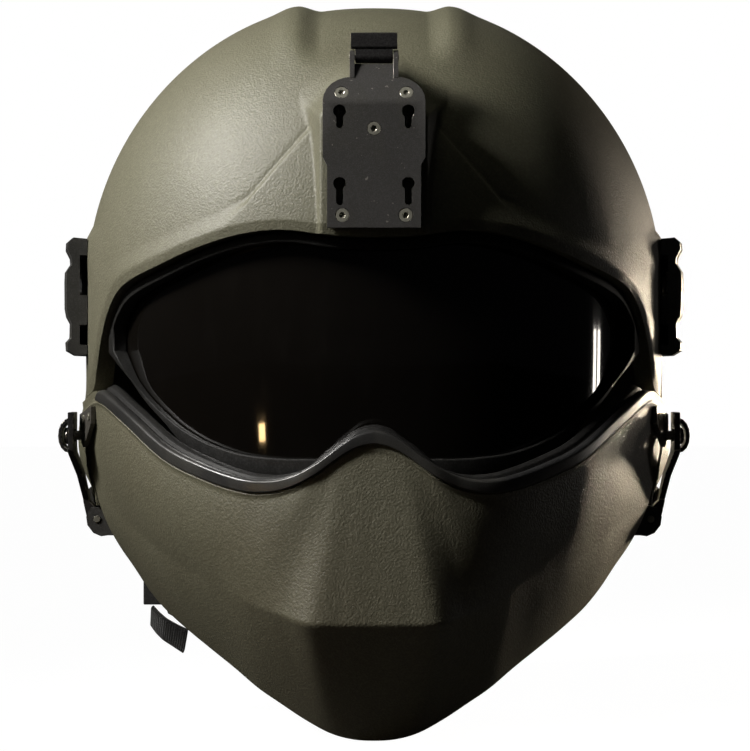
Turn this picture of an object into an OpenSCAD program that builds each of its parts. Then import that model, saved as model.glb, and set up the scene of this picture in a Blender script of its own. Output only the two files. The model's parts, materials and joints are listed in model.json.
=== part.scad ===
/* [Shell] */
// Half width of the shell at its widest level
shell_half_w = 125; // [121:1:130]
// Half length of the shell, front to back
shell_half_l = 132; // [128:1:137]
// Height of the crown above the widest level
crown_rise = 127.2; // [124:1:136]
// Height of the widest level above the chin
widest_z = 180; // [178:1:184]
// Thickness of the shell wall
shell_wall = 9; // [8:0.5:10]
// How far the brow band stands proud of the shell
band_proud = 1.5; // [0.5:0.5:2.5]
// Depth of the channel between the two crown ridges
channel_depth = 3.2; // [1:0.2:4]
// Half width of the channel between the crown ridges
channel_half_w = 31; // [26:1:36]
// How far the ear covers bulge outwards
ear_bulge = 5.7; // [4:0.3:6]
// Thickness of the rubber on the lower rim
rim_rubber = 2; // [1.5:0.5:3]

/* [Mandible] */
// Wall thickness of the mandible
mandible_wall = 6; // [5:0.5:7]
// Height of the rubber trim on the mandible
trim_h = 7.4; // [6:0.2:9]
// Thickness of the rubber trim
trim_t = 1.5; // [1:0.1:2]

/* [Visor] */
// Thickness of the visor lens
lens_t = 2.4; // [1.8:0.2:3]
// Air between the shell wall and the front of the lens
lens_back = 1.5; // [1:0.25:2.5]
// Height of the rubber frame round the lens
frame_h = 4; // [3:0.25:5]
// Depth of the rubber frame in front of the lens
frame_d = 6; // [4:0.5:7]

/* [Shroud] */
// Half width of the upper part of the shroud plate
plate_half_w = 19.9; // [18:0.5:20]
// Half width of the lower part of the shroud plate
plate_low_half_w = 18.2; // [17:0.3:18.4]
// Thickness of the shroud plate
plate_t = 2.6; // [2:0.2:3.2]
// Thickness of the base behind the plate
base_t = 3.2; // [2.6:0.2:4]
// Distance between the left and right keyholes
keyhole_dx = 26.6; // [25:0.2:27]
// Distance between the upper and lower keyholes
keyhole_dz = 28; // [26:0.5:29]
// Radius of the round head of a keyhole
keyhole_r = 2.5; // [2.2:0.1:2.7]
// Half width of a keyhole slot
keyhole_slot_r = 1.4; // [1.1:0.1:1.5]
// Radius of the heads of the shroud screws
shroud_screw_r = 2.7; // [2.4:0.1:3]
// Half width of the thumb bar of the shroud latch
thumb_half_w = 9.1; // [8:0.3:10]

/* [Rails] */
// Height of a rail
rail_h = 50; // [47:1:52]
// Depth of a rail from its seat to its outer face
rail_d = 8.8; // [8:0.2:9.6]
// Length of the rail in front of the middle of the shell
rail_front = 38; // [34:1:42]
// Length of the rail behind the middle of the shell
rail_rear = 80; // [70:1:84]

/* [Latches] */
// Thickness of the latch arm
arm_t = 2.5; // [2:0.25:3]
// Radius of the latch pin
latch_pin_r = 1.5; // [1.2:0.1:1.8]
// Running clearance of the latch on its pin
pin_clear = 0.05; // [0.03:0.01:0.09]
// Radius of the catch stud on the mandible
stud_r = 2; // [1.6:0.1:2.2]

/* [Liner] */
// Thickness of a liner pad
pad_t = 17; // [12:1:19]
// Thickness of the hook discs that hold the pads
disc_t = 1.5; // [1:0.25:1.75]
// Radius of the fit dial knob
knob_r = 17; // [14:0.5:19]
// Width of the chin strap webbing
web_w = 19; // [16:1:22]
// Thickness of the webbing
web_t = 1.8; // [1.4:0.2:2.2]

/* [Hidden] */

// Gap left between two pieces that rest against each other
seat = 0.3;
// Gap left between the inner wall of the shell and what is fixed to it
wall_gap = 0.8;
// Nominal sizes that the control points below are drawn for
nominal_half_w = 125;
nominal_half_l = 132;
nominal_widest_z = 180;
kx = shell_half_w / nominal_half_w;
ky = shell_half_l / nominal_half_l;
kz = widest_z / nominal_widest_z;
// Fore and aft place of the middle of the shell, from the measuring plane
shell_y = 10;
// Foremost point of the mandible, from the measuring plane
mandible_front = 134.3;
shift_y = (shell_y + shell_half_l + shell_y - (mandible_front + shell_y) * ky) / 2;
centre = [0, shell_y, widest_z];

// Shape of the shell: exponents of its plan, its brow profile and its skirt
plan_p = 2.2;
profile_p = 2.05;
brow_fill = 0.6;
skirt_p = 3;
skirt_drop = 190 * kz;

// Lower edge of the shell as azimuth from the front and height above the chin
edge_table = [[0, 200.3], [7.4, 200.8], [10.5, 201.9], [14.7, 203.4], [18.9, 203.3], [24.3, 201.6],
    [29.6, 198.6], [35.1, 194.8], [40.4, 190.7], [46.4, 186.9], [52.7, 182.5], [56.5, 177.4],
    [60.3, 169.9], [64.2, 157.6], [68, 143], [72, 139], [75.5, 137.5], [76.2, 91], [90, 90],
    [110, 93], [130, 97], [150, 94], [180, 90]];
// Azimuths of the columns of points of the shell, on one side
half_columns = [0, 3, 6, 8.4, 9.4, 10.2, 11, 11.8, 13, 14.7, 16.8, 18.9, 21.5, 24.3, 27, 29.6, 32.3, 35.1,
    38, 40.4, 43.4, 46.4, 49.6, 52.7, 56.5, 60.3, 64.2, 68, 72, 75.5, 76.2, 80, 85, 90, 95, 100,
    105, 110, 116, 122, 128, 134, 140, 146, 152, 158, 164, 169, 174.5, 180];
// Rows of points below and above the level where the rows become even all round
low_rows = 7;
high_rows = 14;
inner_low_rows = 8;
inner_high_rows = 10;
even_el = 16;
top_el = 86;

// Boss that carries the shroud: its front face, its half width and the slopes of its sides
boss_proud = 1.5;
boss_y = shell_half_l - shell_y + boss_proud;
base_back = boss_y + seat;
plate_back = base_back + base_t;
plate_front = plate_back + plate_t;
boss_half_w = 21.2;
boss_side_slope = 3;
bend_z = 253 * kz;
bend_a = 30;
base_bend_z = bend_z - plate_t * tan(bend_a / 2);
boss_bend_z = bend_z - (plate_front - boss_y) * tan(bend_a / 2);
boss_top_z = 262 * kz;
boss_top_slope = 1.6;
boss_end_el = 50;
boss_reach = 7;

function smooth(e0, e1, v) = let(t = min(1, max(0, (v - e0) / (e1 - e0)))) t * t * (3 - 2 * t);
function unit(v) = v / norm(v);
function at_x(p) = [p.x * kx, shell_y + (p.y - shell_y) * ky, p.z * kz];

// Horizontal radius of the shell at an azimuth, inside its face by off
function plan_r(az, off) = pow(pow(abs(sin(az)) / (shell_half_w - off), plan_p)
    + pow(abs(cos(az)) / (shell_half_l - off), plan_p), -1 / plan_p);
function up_p(az) = profile_p + brow_fill * pow(max(0, cos(az)), 2);
function side_p(az, up) = up ? up_p(az) : skirt_p;
function side_c(up, off) = (up ? crown_rise : skirt_drop) - off;
// Distance of the plain shell from its centre in a direction
function plain_r(az, el, off) = let(up = el >= 0, p = side_p(az, up))
    pow(pow(cos(el) / plan_r(az, off), p) + pow(abs(sin(el)) / side_c(up, off), p), -1 / p);
function heading(az, el) = [cos(el) * sin(az), -cos(el) * cos(az), sin(el)];
// Radius and elevation of the plain shell at an azimuth and a height
function level_r(az, z, off) = let(dz = z - widest_z, up = dz >= 0, p = side_p(az, up))
    plan_r(az, off) * pow(max(0.0001, 1 - pow(abs(dz) / side_c(up, off), p)), 1 / p);
function level_el(az, z, off) = atan2(z - widest_z, level_r(az, z, off));

// Height of the crease above the brow band at a distance from the middle
function crease_z(x) = kz * (x < 50 * kx ? 216 + (50 - x / kx) * 1.15 : 216 - (x / kx - 50) * 0.37);
// Raised and sunk features of the outer face, added along the heading
function features(p, az) = let(x = abs(p.x), dy = p.y - shell_y,
    fade = smooth(widest_z + 88, widest_z + 106, p.z),
    back_fade = dy < 0 ? fade : smooth(widest_z + 40, widest_z + 80, p.z),
    channel = -channel_depth * (1 - smooth(channel_half_w - 9, channel_half_w + 1, x)) * back_fade,
    ridge = 1.2 * exp(-pow((x - channel_half_w - 4) / 7, 2)) * back_fade,
    band = band_proud * smooth(0, 5, crease_z(x) - p.z) * (1 - smooth(95, 115, x)) * (dy < 0 ? 1 : 0),
    ledge = 1.6 * (1 - smooth(25, 28, p.z - widest_z)) * smooth(4, 25, p.z - widest_z) * smooth(62, 74, abs(az))
        * (1 - smooth(118, 130, abs(az))))
    channel + ridge + band + ledge;
function bulge(p) = ear_bulge * exp(-pow(pow((p.z - 117.5 * kz) / 17, 2)
    + pow((p.y - shell_y) / 30, 2), 1.5)) * (abs(p.x) > 60 ? 1 : 0);

// Boss faces as planes, met by a ray from the centre of the shell
function boss_r(az, el) = let(f = cos(el) * cos(az), s = cos(el) * abs(sin(az)), u = sin(el), t = tan(bend_a),
    lean = boss_bend_z - widest_z,
    front = (shell_y + boss_y) / max(0.01, f),
    side = (shell_y + boss_y + boss_side_slope * boss_half_w) / max(0.01, f + boss_side_slope * s),
    top = (shell_y + boss_y + t * lean) / max(0.01, f + t * u),
    close = (shell_y + boss_y - t * (boss_top_z - boss_bend_z) + boss_top_slope * (boss_top_z - widest_z))
        / max(0.01, f + boss_top_slope * u),
    edge = (boss_half_w + boss_reach) / max(0.01, s))
    (abs(az) > 30 || el < 0 || el > boss_end_el) ? 0 : min(front, side, top, close, edge);

function outer_point(az, el) = let(r = plain_r(az, el, 0), q = centre + r * heading(az, el))
    centre + max(r + features(q, az) + bulge(q), boss_r(az, el)) * heading(az, el);
function inner_point(az, el, off) = let(r = plain_r(az, el, off), q = centre + r * heading(az, el))
    centre + (r + bulge(q)) * heading(az, el);
// Point of a surface inside the plain shell, at an azimuth and a height
function skin(az, z, off) = inner_point(az, level_el(az, z, off), off);
function edge_z(az) = lookup(abs(az), edge_table) * kz;

// Points of the shell, column by column from the lower edge to the crown
function columns() = concat(half_columns, [for (i = [len(half_columns) - 2:-1:1]) -half_columns[i]]);
function row_els(e0, low, high) = concat([for (j = [0:low - 1]) e0 + (even_el - e0) * j / low],
    [for (j = [0:high - 1]) even_el + (top_el - even_el) * j / (high - 1)]);
function shell_column(az, low, high, off) = [for (el = row_els(level_el(az, edge_z(az), off), low, high))
    off == 0 ? outer_point(az, el) : inner_point(az, el, off)];

function flat(g) = [for (r = g) each r];
// Triangles between neighbouring columns of points; the first index is s
function skin_faces(n, m, s, ring, flip) = [for (i = [0:n - (ring ? 1 : 2)]) for (j = [0:m - 2])
    let(a = s + i * m + j, b = a + 1, c = s + ((i + 1) % n) * m + j, d = c + 1)
    each flip ? [[a, c, b], [b, c, d]] : [[a, b, c], [b, d, c]]];

// Closed dome between an outer and an inner set of columns that share their lower edge
module dome(o, o_top, n, n_top) {
    k = len(o);
    mo = len(o[0]);
    mn = len(n[0]);
    s = k * mo;
    ends = s + k * mn;
    polyhedron(
        points = concat(flat(o), flat(n), [o_top, n_top]),
        faces = concat(
            skin_faces(k, mo, 0, true, false),
            skin_faces(k, mn, s, true, true),
            [for (i = [0:k - 1]) let(c = (i + 1) % k) each [
                [c * mo + mo - 1, i * mo + mo - 1, ends],
                [s + i * mn + mn - 1, s + c * mn + mn - 1, ends + 1],
                [i * mo, c * mo, s + i * mn],
                [c * mo, s + c * mn, s + i * mn]]]),
        convexity = 8);
}

// Closed sheet between an outer and an inner grid of points of the same size
module sheet(o, n, ring = false) {
    k = len(o);
    m = len(o[0]);
    s = k * m;
    last = ring ? k - 1 : k - 2;
    polyhedron(
        points = concat(flat(o), flat(n)),
        faces = concat(
            skin_faces(k, m, 0, ring, false),
            skin_faces(k, m, s, ring, true),
            [for (i = [0:last]) let(a = i * m, c = ((i + 1) % k) * m, b = a + m - 1, d = c + m - 1)
                each [[a, c, s + a], [c, s + c, s + a], [d, b, s + b], [d, s + b, s + d]]],
            ring ? [] : [for (j = [0:m - 2]) let(a = j, c = (k - 1) * m + j)
                each [[a + 1, a, s + a], [a + 1, s + a, s + a + 1],
                    [c, c + 1, s + c + 1], [c, s + c + 1, s + c]]]),
        convexity = 8);
}

// Bent block between two surfaces inside the shell, over a range of azimuths and heights
module skin_block(az0, az1, z0, z1, off0, off1, n = 4) {
    az = [for (i = [0:n]) az0 + (az1 - az0) * i / n];
    z = [for (j = [0:n]) z0 + (z1 - z0) * j / n];
    sheet([for (a = az) [for (h = z) skin(a, h, off0)]], [for (a = az) [for (h = z) skin(a, h, off1)]]);
}

module to_origin() {
    translate([0, -shift_y, 0]) children();
}
module pair_side(s) {
    if (s > 0) children();
    else mirror([1, 0, 0]) children();
}
// Plate outline drawn in X and Z, made thick along Y from y0 towards the back
module upright(y0, t) {
    translate([0, y0 + t, 0]) rotate([90, 0, 0]) linear_extrude(t) children();
}

module shell() color("#5d5b45") to_origin() {
    az = columns();
    dome([for (a = az) shell_column(a, low_rows, high_rows, 0)], outer_point(0, 90),
        [for (a = az) shell_column(a, inner_low_rows, inner_high_rows, shell_wall)],
        inner_point(0, 90, shell_wall));
}

// Rubber channel on the lower rim, from behind one latch round the back to the other
rim_start = 88;
rim_lip_el = 2.6;
rim_gap = 1;
module rim_channel() {
    side = concat([rim_start], [for (a = half_columns) if (a > rim_start) a]);
    az = concat(side, [for (i = [len(side) - 2:-1:0]) 360 - side[i]]);
    function fold(a0, out) = let(a = a0 > 180 ? a0 - 360 : a0, z = edge_z(a),
        eo = level_el(a, z, 0), ei = level_el(a, z, shell_wall), g = out ? rim_gap + rim_rubber : rim_gap,
        lift = rim_lip_el, low = out ? [0, 0, -rim_gap - rim_rubber] : [0, 0, -rim_gap])
        [outer_point(a, eo + lift) + g * heading(a, 0), outer_point(a, eo) + g * heading(a, 0) + low,
         inner_point(a, ei, shell_wall) - g * heading(a, 0) + low,
         inner_point(a, ei + lift, shell_wall) - g * heading(a, 0)];
    o = [for (a = az) fold(a, true)];
    n = [for (a = az) fold(a, false)];
    sheet([for (c = o) [c[3], c[2], c[1], c[0]]], [for (c = n) [c[3], c[2], c[1], c[0]]]);
}
module rim_trim() color("#1d1d1c") to_origin() rim_channel();

// Shroud: the plate is upright up to the bend and leans back above it
plate_low_z = 203.8 * kz;
plate_step_z = 229.5 * kz;
neck_half_w = 8.6;
neck_len = 17.5;
shoulder_len = 11.3;
screw_low_x = 12.3;
screw_low_z = 208.6 * kz;
screw_up_x = 12.6;
screw_up_len = 3.9;
screw_mid_z = 242.2 * kz;
screw_shank_r = 1.3;
screw_hole_r = 1.5;
head_pocket = 1.25;
keyhole_low_z = 220.9 * kz;
keyhole_drop_up = 5.3;
keyhole_drop_low = 7;
module plate_low_outline(top) {
    polygon([[-plate_low_half_w, plate_low_z], [plate_low_half_w, plate_low_z],
        [plate_low_half_w, plate_step_z - 1.6], [plate_half_w, plate_step_z + 1.6],
        [plate_half_w, top], [-plate_half_w, top],
        [-plate_half_w, plate_step_z + 1.6], [-plate_low_half_w, plate_step_z - 1.6]]);
}
// Upper outline, with heights measured from the bend
module plate_top_outline(low) {
    steps = 6;
    r = plate_half_w - neck_half_w;
    side = [for (i = [0:steps]) let(a = 90 * i / steps)
        [neck_half_w + r * cos(a), max(low, shoulder_len * sin(a))]];
    polygon(concat(side, [[neck_half_w, neck_len], [-neck_half_w, neck_len]],
        [for (i = [steps:-1:0]) [-side[i][0], side[i][1]]]));
}
// Turns a piece drawn upright from the front of the bend so that it leans back with the top of the plate
module leaning() {
    translate([0, -plate_front, bend_z]) rotate([-bend_a, 0, 0]) children();
}
module screw_places_low() {
    for (x = [-1, 1]) translate([x * screw_low_x, 0, screw_low_z]) children();
    translate([0, 0, screw_mid_z]) children();
}
module screw_places_up() {
    for (x = [-1, 1]) translate([x * screw_up_x, 0, screw_up_len]) children();
}
module along_y(r, y0, y1) {
    translate([0, y1, 0]) rotate([90, 0, 0]) cylinder(h = y1 - y0, r = r, $fn = 48);
}
module keyholes(grow) {
    for (x = [-1, 1]) for (row = [0, 1]) {
        drop = row == 1 ? keyhole_drop_up : keyhole_drop_low;
        translate([x * keyhole_dx / 2, 0, keyhole_low_z + row * keyhole_dz]) {
            along_y(keyhole_r + grow, -plate_front - 1, -base_back + 1);
            translate([0, 0, -drop]) along_y(keyhole_slot_r + grow, -plate_front - 1, -base_back + 1);
            translate([-keyhole_slot_r - grow, -plate_front - 1, -drop])
                cube([2 * (keyhole_slot_r + grow), plate_front - base_back + 2, drop]);
        }
    }
}
module shroud_base() color("#23221f") to_origin() difference() {
    union() {
        upright(-plate_back, base_t) plate_low_outline(base_bend_z);
        leaning() upright(plate_t, base_t) plate_top_outline(bend_z - base_bend_z);
    }
    keyholes(1);
    screw_places_low() along_y(screw_hole_r, -plate_front - 1, -base_back + 1);
    leaning() screw_places_up() along_y(screw_hole_r, -1, plate_t + base_t + 1);
    for (s = [-1, 1]) translate([s * (ear_x0 + ear_t / 2) - ear_t / 2 - 0.2, -plate_back - 1, bend_z + 6])
        cube([ear_t + 0.4, 14, 30]);
}
ear_x0 = 7.6;
ear_t = 1.9;
// The pin lies behind the front face of the boss
pivot_depth = 4;
pivot = [pivot_depth - boss_y, 271 * kz];
pivot_r = 1.2;
pivot_hub_r = 2.6;
module shroud_plate() color("#3a3838") to_origin() difference() {
    union() {
        upright(-plate_front, plate_t) plate_low_outline(bend_z);
        leaning() upright(0, plate_t) plate_top_outline(0);
        for (s = [-1, 1]) translate([s > 0 ? ear_x0 : -ear_x0 - ear_t, 0, 0])
            rotate([90, 0, 90]) linear_extrude(ear_t) hull() {
                translate([pivot[0], pivot[1]]) circle(r = pivot_hub_r, $fn = 32);
                translate([-plate_back + 3.4, bend_z + 9.6]) circle(r = 0.8, $fn = 32);
                translate([-plate_back + 8.2, bend_z + 10]) circle(r = 0.8, $fn = 32);
            }
    }
    keyholes(0);
    screw_places_low() along_y(screw_hole_r, -plate_front - 1, -base_back + 1);
    screw_places_low() along_y(shroud_screw_r + 0.1, -plate_front - 1, -plate_front + head_pocket);
    leaning() screw_places_up() along_y(screw_hole_r, -1, plate_t + 1);
    leaning() screw_places_up() along_y(shroud_screw_r + 0.1, -1, head_pocket);
    translate([-ear_x0 - ear_t - 1, pivot[0], pivot[1]]) rotate([0, 90, 0])
        cylinder(h = 2 * (ear_x0 + ear_t) + 2, r = pivot_r + pin_clear, $fn = 48);
}
// Screw with a sunk hexagon drive, its head flush with the plate
module shroud_screw(depth) {
    difference() {
        union() {
            along_y(shroud_screw_r, 0, 1.1);
            along_y(screw_shank_r, 1, depth);
        }
        translate([0, 0.7, 0]) rotate([90, 0, 0]) cylinder(h = 1, r = 1.2, $fn = 6);
    }
}
module shroud_screws() color("#8b8a80") to_origin() {
    screw_places_low() translate([0, -plate_front + 0.1, 0]) shroud_screw(base_t + plate_t - 0.2);
    leaning() screw_places_up() translate([0, 0.1, 0]) shroud_screw(base_t + plate_t - 0.6);
}
thumb_low = 3.6 * kz;
thumb_high = 9.4 * kz;
module shroud_latch() color("#1b1b1b") to_origin() difference() {
    union() {
        translate([-ear_x0 + 0.3, 0, 0]) rotate([90, 0, 90]) linear_extrude(2 * (ear_x0 - 0.3)) hull() {
            translate([pivot[0], pivot[1]]) circle(r = pivot_hub_r, $fn = 32);
            translate([pivot[0] - 0.6, pivot[1] + thumb_low]) circle(r = 1.5, $fn = 32);
        }
        translate([-thumb_half_w, 0, 0]) rotate([90, 0, 90]) linear_extrude(2 * thumb_half_w) hull() {
            translate([pivot[0] - 1.6, pivot[1] + thumb_low + 0.4]) circle(r = 1.2, $fn = 32);
            translate([pivot[0] - 1.2, pivot[1] + thumb_high - 1.2]) circle(r = 1.2, $fn = 32);
            translate([pivot[0] + 2.2, pivot[1] + thumb_high - 1.6]) circle(r = 1.2, $fn = 32);
        }
    }
    translate([-thumb_half_w - 1, pivot[0], pivot[1]]) rotate([0, 90, 0])
        cylinder(h = 2 * thumb_half_w + 2, r = pivot_r + pin_clear, $fn = 48);
}
module shroud_latch_pin() color("#77766f") to_origin() {
    translate([-ear_x0 - ear_t - 0.3, pivot[0], pivot[1]]) rotate([0, 90, 0])
        cylinder(h = 2 * (ear_x0 + ear_t) + 0.6, r = pivot_r, $fn = 48);
}

// Rails follow an arc in plan; their section is drawn as depth from the seat and height
// The arc is a little flatter than the plan of the shell between its middle and the rear of the rail
rail_sag = shell_half_w * (1 - pow(1 - pow(rail_rear / shell_half_l, plan_p), 1 / plan_p));
rail_flatter = 1.10357;
rail_arc_r = rail_flatter * (rail_rear * rail_rear + rail_sag * rail_sag) / (2 * rail_sag);
rail_gap = 0.6;
// Depth of the two grooves in the face of the rail that lies on the shell
rail_groove_d = 3.2;
rail_a0 = -asin(rail_front / rail_arc_r);
rail_a1 = asin(rail_rear / rail_arc_r);
rail_seat_r = rail_arc_r + rail_gap;
module rail_section() {
    h = rail_h / 2;
    d = rail_d;
    g = rail_groove_d;
    polygon([[0, -h * 0.98], [d * 0.55, -h], [d * 0.93, -h * 0.92], [d * 0.96, -h * 0.78],
        [d * 0.76, -h * 0.7], [d * 0.74, -h * 0.46], [d * 0.92, -h * 0.34], [d * 0.99, -h * 0.2],
        [d, h * 0.26], [d * 0.98, h * 0.42], [d * 0.72, h * 0.56], [d * 0.74, h * 0.66],
        [d * 0.94, h * 0.8], [d * 0.92, h * 0.92], [d * 0.66, h], [0, h * 0.98],
        [0, h * 0.7], [g, h * 0.7], [g, h * 0.02], [0, h * 0.02],
        [0, -h * 0.48], [g, -h * 0.48], [g, -h * 0.82], [0, -h * 0.82]]);
}
rail_screw_at = [-7.2, 6.5, 20.5];
rail_screw_r = 3.2;
rail_window_at = [-0.4, 13.4];
rail_window_len = 17;
module on_rail(a) {
    translate([shell_half_w - rail_arc_r, shell_y, widest_z]) rotate([0, 0, a]) translate([rail_seat_r, 0, 0])
        children();
}
module rail() {
    difference() {
        translate([shell_half_w - rail_arc_r, shell_y, widest_z]) rotate([0, 0, rail_a0])
            rotate_extrude(angle = rail_a1 - rail_a0, $fn = 180)
                translate([rail_seat_r, 0]) rail_section();
        for (a = rail_screw_at) on_rail(a) translate([-1, 0, -rail_h * 0.1]) rotate([0, 90, 0])
            cylinder(h = rail_d + 2, r = rail_screw_r + 0.2, $fn = 48);
        for (a = rail_window_at) on_rail(a) translate([rail_groove_d - 1, -rail_window_len / 2, rail_h * 0.06])
            cube([rail_d, rail_window_len, rail_h * 0.18]);
        for (a = [-9.6, -3.7, 3.1, 9.9, 16.8, 23.6]) on_rail(a) translate([rail_d * 0.5, -2, rail_h * 0.31])
            cube([rail_d, 4, rail_h]);
    }
}
module rail_screw_set() {
    for (a = rail_screw_at) on_rail(a) translate([0, 0, -rail_h * 0.1]) rotate([0, 90, 0]) difference() {
        cylinder(h = rail_d - 1.6, r = rail_screw_r, $fn = 48);
        translate([0, 0, rail_d - 3.4]) cylinder(h = 3, r = 1.5, $fn = 6);
    }
}
module rail_left() color("#161616") to_origin() pair_side(1) rail();
module rail_right() color("#161616") to_origin() pair_side(-1) rail();
module rail_screws_left() color("#55534e") to_origin() pair_side(1) rail_screw_set();
module rail_screws_right() color("#55534e") to_origin() pair_side(-1) rail_screw_set();

// Visor: the lens is a slice of a surface inside the shell, the frame a loop in front of its rim
lens_off = shell_wall + lens_back;
lens_end = 61;
lens_bottom_table = [[0, 113], [16.5, 112.5], [25, 114], [32, 118], [39, 124.3], [49.6, 137.5],
    [57.4, 149.5], [62.5, 157.5]];
function lens_bottom(az) = lookup(abs(az), lens_bottom_table) * kz;
// Depth of the rubber skirt below the lens, by azimuth
skirt_table = [[0, 10], [30, 9], [37, 8], [42, 2.5], [50, 1.2], [57, 0.6], [62.5, 0.5]];
skirt_d = 2.8;
module lens_body() {
    cols = 32;
    rows = 8;
    function grid(off) = [for (i = [-cols / 2:cols / 2]) let(a = lens_end * i / (cols / 2),
        z0 = lens_bottom(a) - 1, z1 = edge_z(a) + 4)
        [for (j = [0:rows]) skin(a, z0 + (z1 - z0) * j / rows, off)]];
    sheet(grid(lens_off), grid(lens_off + lens_t));
}
module visor_lens() color("#0c0b0b") to_origin() lens_body();
frame_end = 62.5;
frame_inner_end = 59.5;
frame_steps = 40;
module frame_body() {
    off_back = lens_off - seat;
    function section(u, top) = let(ai = frame_inner_end * u, ao = frame_end * u,
        off_front = off_back - (top ? frame_d : skirt_d + (frame_d - skirt_d) * smooth(0.85, 1, abs(u))),
        zo = top ? edge_z(ao) - 0.5 : lens_bottom(ao) - lookup(abs(ao), skirt_table),
        zi = top ? edge_z(ai) - 0.5 - frame_h : lens_bottom(ai) + 1 + (frame_h - 1) * smooth(0.9, 1, abs(u)))
        [skin(ao, zo, off_back), skin(ao, zo, off_front), skin(ai, zi, off_front), skin(ai, zi, off_back)];
    top = [for (i = [0:frame_steps]) section(-1 + 2 * i / frame_steps, true)];
    low = [for (i = [0:frame_steps]) section(1 - 2 * i / frame_steps, false)];
    stations = concat(top, low);
    k = len(stations);
    polyhedron(points = flat(stations), faces = [for (i = [0:k - 1]) for (j = [0:3])
        let(a = i * 4 + j, b = i * 4 + (j + 1) % 4, n = ((i + 1) % k) * 4, c = n + j, d = n + (j + 1) % 4)
        each [[a, c, b], [b, c, d]]], convexity = 8);
}
module visor_frame() color("#121111") to_origin() frame_body();
clip_t = 2.5;
module visor_clip() {
    back = lens_off + lens_t + seat;
    skin_block(lens_end - 2, frame_end + 4, 158 * kz, 172 * kz, back, back + clip_t, 3);
    skin_block(frame_end + 0.8, frame_end + 4, 158 * kz, 172 * kz, shell_wall + wall_gap, back + 1, 3);
}
module visor_clip_left() color("#191919") to_origin() visor_clip();
module visor_clip_right() color("#191919") to_origin() pair_side(-1) visor_clip();

// Mandible: control points from the middle to the rear, for its top edge, crease and lower rim
top_net = [[0, -132.5, 120], [7, -132.5, 118.5], [14, -132.3, 114.5], [24.1, -131.5, 107.3],
    [32.8, -129, 102.9], [42.2, -126, 101], [53.3, -121, 101.9], [68.4, -110, 106.5],
    [84.2, -95, 113.8], [101.1, -72, 127.2], [114.5, -48, 136], [123.8, -23, 131.2]];
crease_net = [[0, -134, 49.6], [12.5, -134, 49.6], [25.5, -133, 50.2], [36, -125, 53],
    [44, -118.5, 55.5], [52, -111.5, 58.5], [61, -102.5, 63], [71, -92, 67],
    [82, -80, 72], [94, -64, 79.5], [105, -46, 87.5], [117, -22, 92]];
rim_net = [[0, -92, 0], [9, -91.7, 0.6], [18, -90.3, 3], [28, -87, 8],
    [38, -82.5, 14], [47, -77.5, 19.5], [57, -70.5, 27], [67.5, -62.5, 34.3],
    [78, -52.5, 41.5], [88, -41, 49], [96, -30, 57], [102.5, -20, 65.2]];
net_end = 11;
trim_end = 10;
top_margin = 4;
cheek_bulge = 3.4;
jaw_bulge = 1.6;
function mirrored(p) = [-p.x, p.y, p.z];
function net(list, i) = at_x(i < 0 ? mirrored(list[-i]) : list[min(i, net_end)]);
function catmull(a, b, c, d, t) = 0.5 * (2 * b + (c - a) * t + (2 * a - 5 * b + 4 * c - d) * t * t
    + (3 * b - a - 3 * c + d) * t * t * t);
// Point of a control row at a place along it, which may lie between two points or on the other side
function along(list, u) = let(v = abs(u), i = min(net_end - 1, floor(v)), t = v - i,
    end = i == net_end - 1 ? 2 * net(list, net_end) - net(list, net_end - 1) : net(list, i + 2),
    p = catmull(net(list, i - 1), net(list, i), net(list, i + 1), end, t))
    u < 0 ? mirrored(p) : p;
function outward(p) = unit([p.x, p.y + 10, 0]);
// Outer face of the mandible: f runs from -1 at the lower rim to 0 at the crease and 1 at the top
function face(u, f) = let(t = along(top_net, u), c = along(crease_net, u), r = along(rim_net, u),
    side = smooth(2, 4.5, abs(u)), rear = 1 - 0.75 * smooth(8.5, 11, abs(u)))
    f >= 0 ? c + (t - c) * f + outward(c) * cheek_bulge * side * rear * 4 * f * (1 - f)
        : c + (c - r) * f + outward(c) * jaw_bulge * (0.4 + 0.6 * side) * 4 * -f * (1 + f);
function face_normal(u, f) = let(h = 0.05, f0 = f >= 1 ? f - h : f)
    unit(cross(face(min(net_end, u + h), f) - face(max(-net_end, u - h), f), face(u, f0 + h) - face(u, f0)));
function top_up(u) = unit(face(u, 1) - face(u, 0.9));
function mandible_column(u, off) = concat(
    [for (f = [-1, -0.75, -0.5, -0.25, 0, 0.2, 0.4, 0.6, 0.8, 1]) face(u, f) - off * face_normal(u, f)],
    [face(u, 1) + top_margin * top_up(u) - off * face_normal(u, 1)]);
module mandible() color("#5d5b45") to_origin() {
    u = [for (i = [-net_end * 2:net_end * 2]) i / 2];
    sheet([for (v = u) mandible_column(v, 0)], [for (v = u) mandible_column(v, mandible_wall)]);
}
module trim_channel() {
    u = [for (i = [-trim_end * 2:trim_end * 2]) i / 2];
    w = mandible_wall;
    outline = [[trim_t + seat, 0], [trim_t + seat, trim_h * 0.6], [0.4, trim_h], [-w - 0.4, trim_h],
        [-w - trim_t - seat, trim_h * 0.6], [-w - trim_t - seat, 0]];
    hollow = [[seat, 0], [seat, top_margin * 0.7], [seat, top_margin + seat],
        [-w - seat, top_margin + seat], [-w - seat, top_margin * 0.7], [-w - seat, 0]];
    function fold(v, list) = [for (p = list) face(v, 1) + p[0] * face_normal(v, 1) + p[1] * top_up(v)];
    sheet([for (v = u) fold(v, outline)], [for (v = u) fold(v, hollow)]);
}
module mandible_trim() color("#2b2a2b") to_origin() trim_channel();

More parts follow.
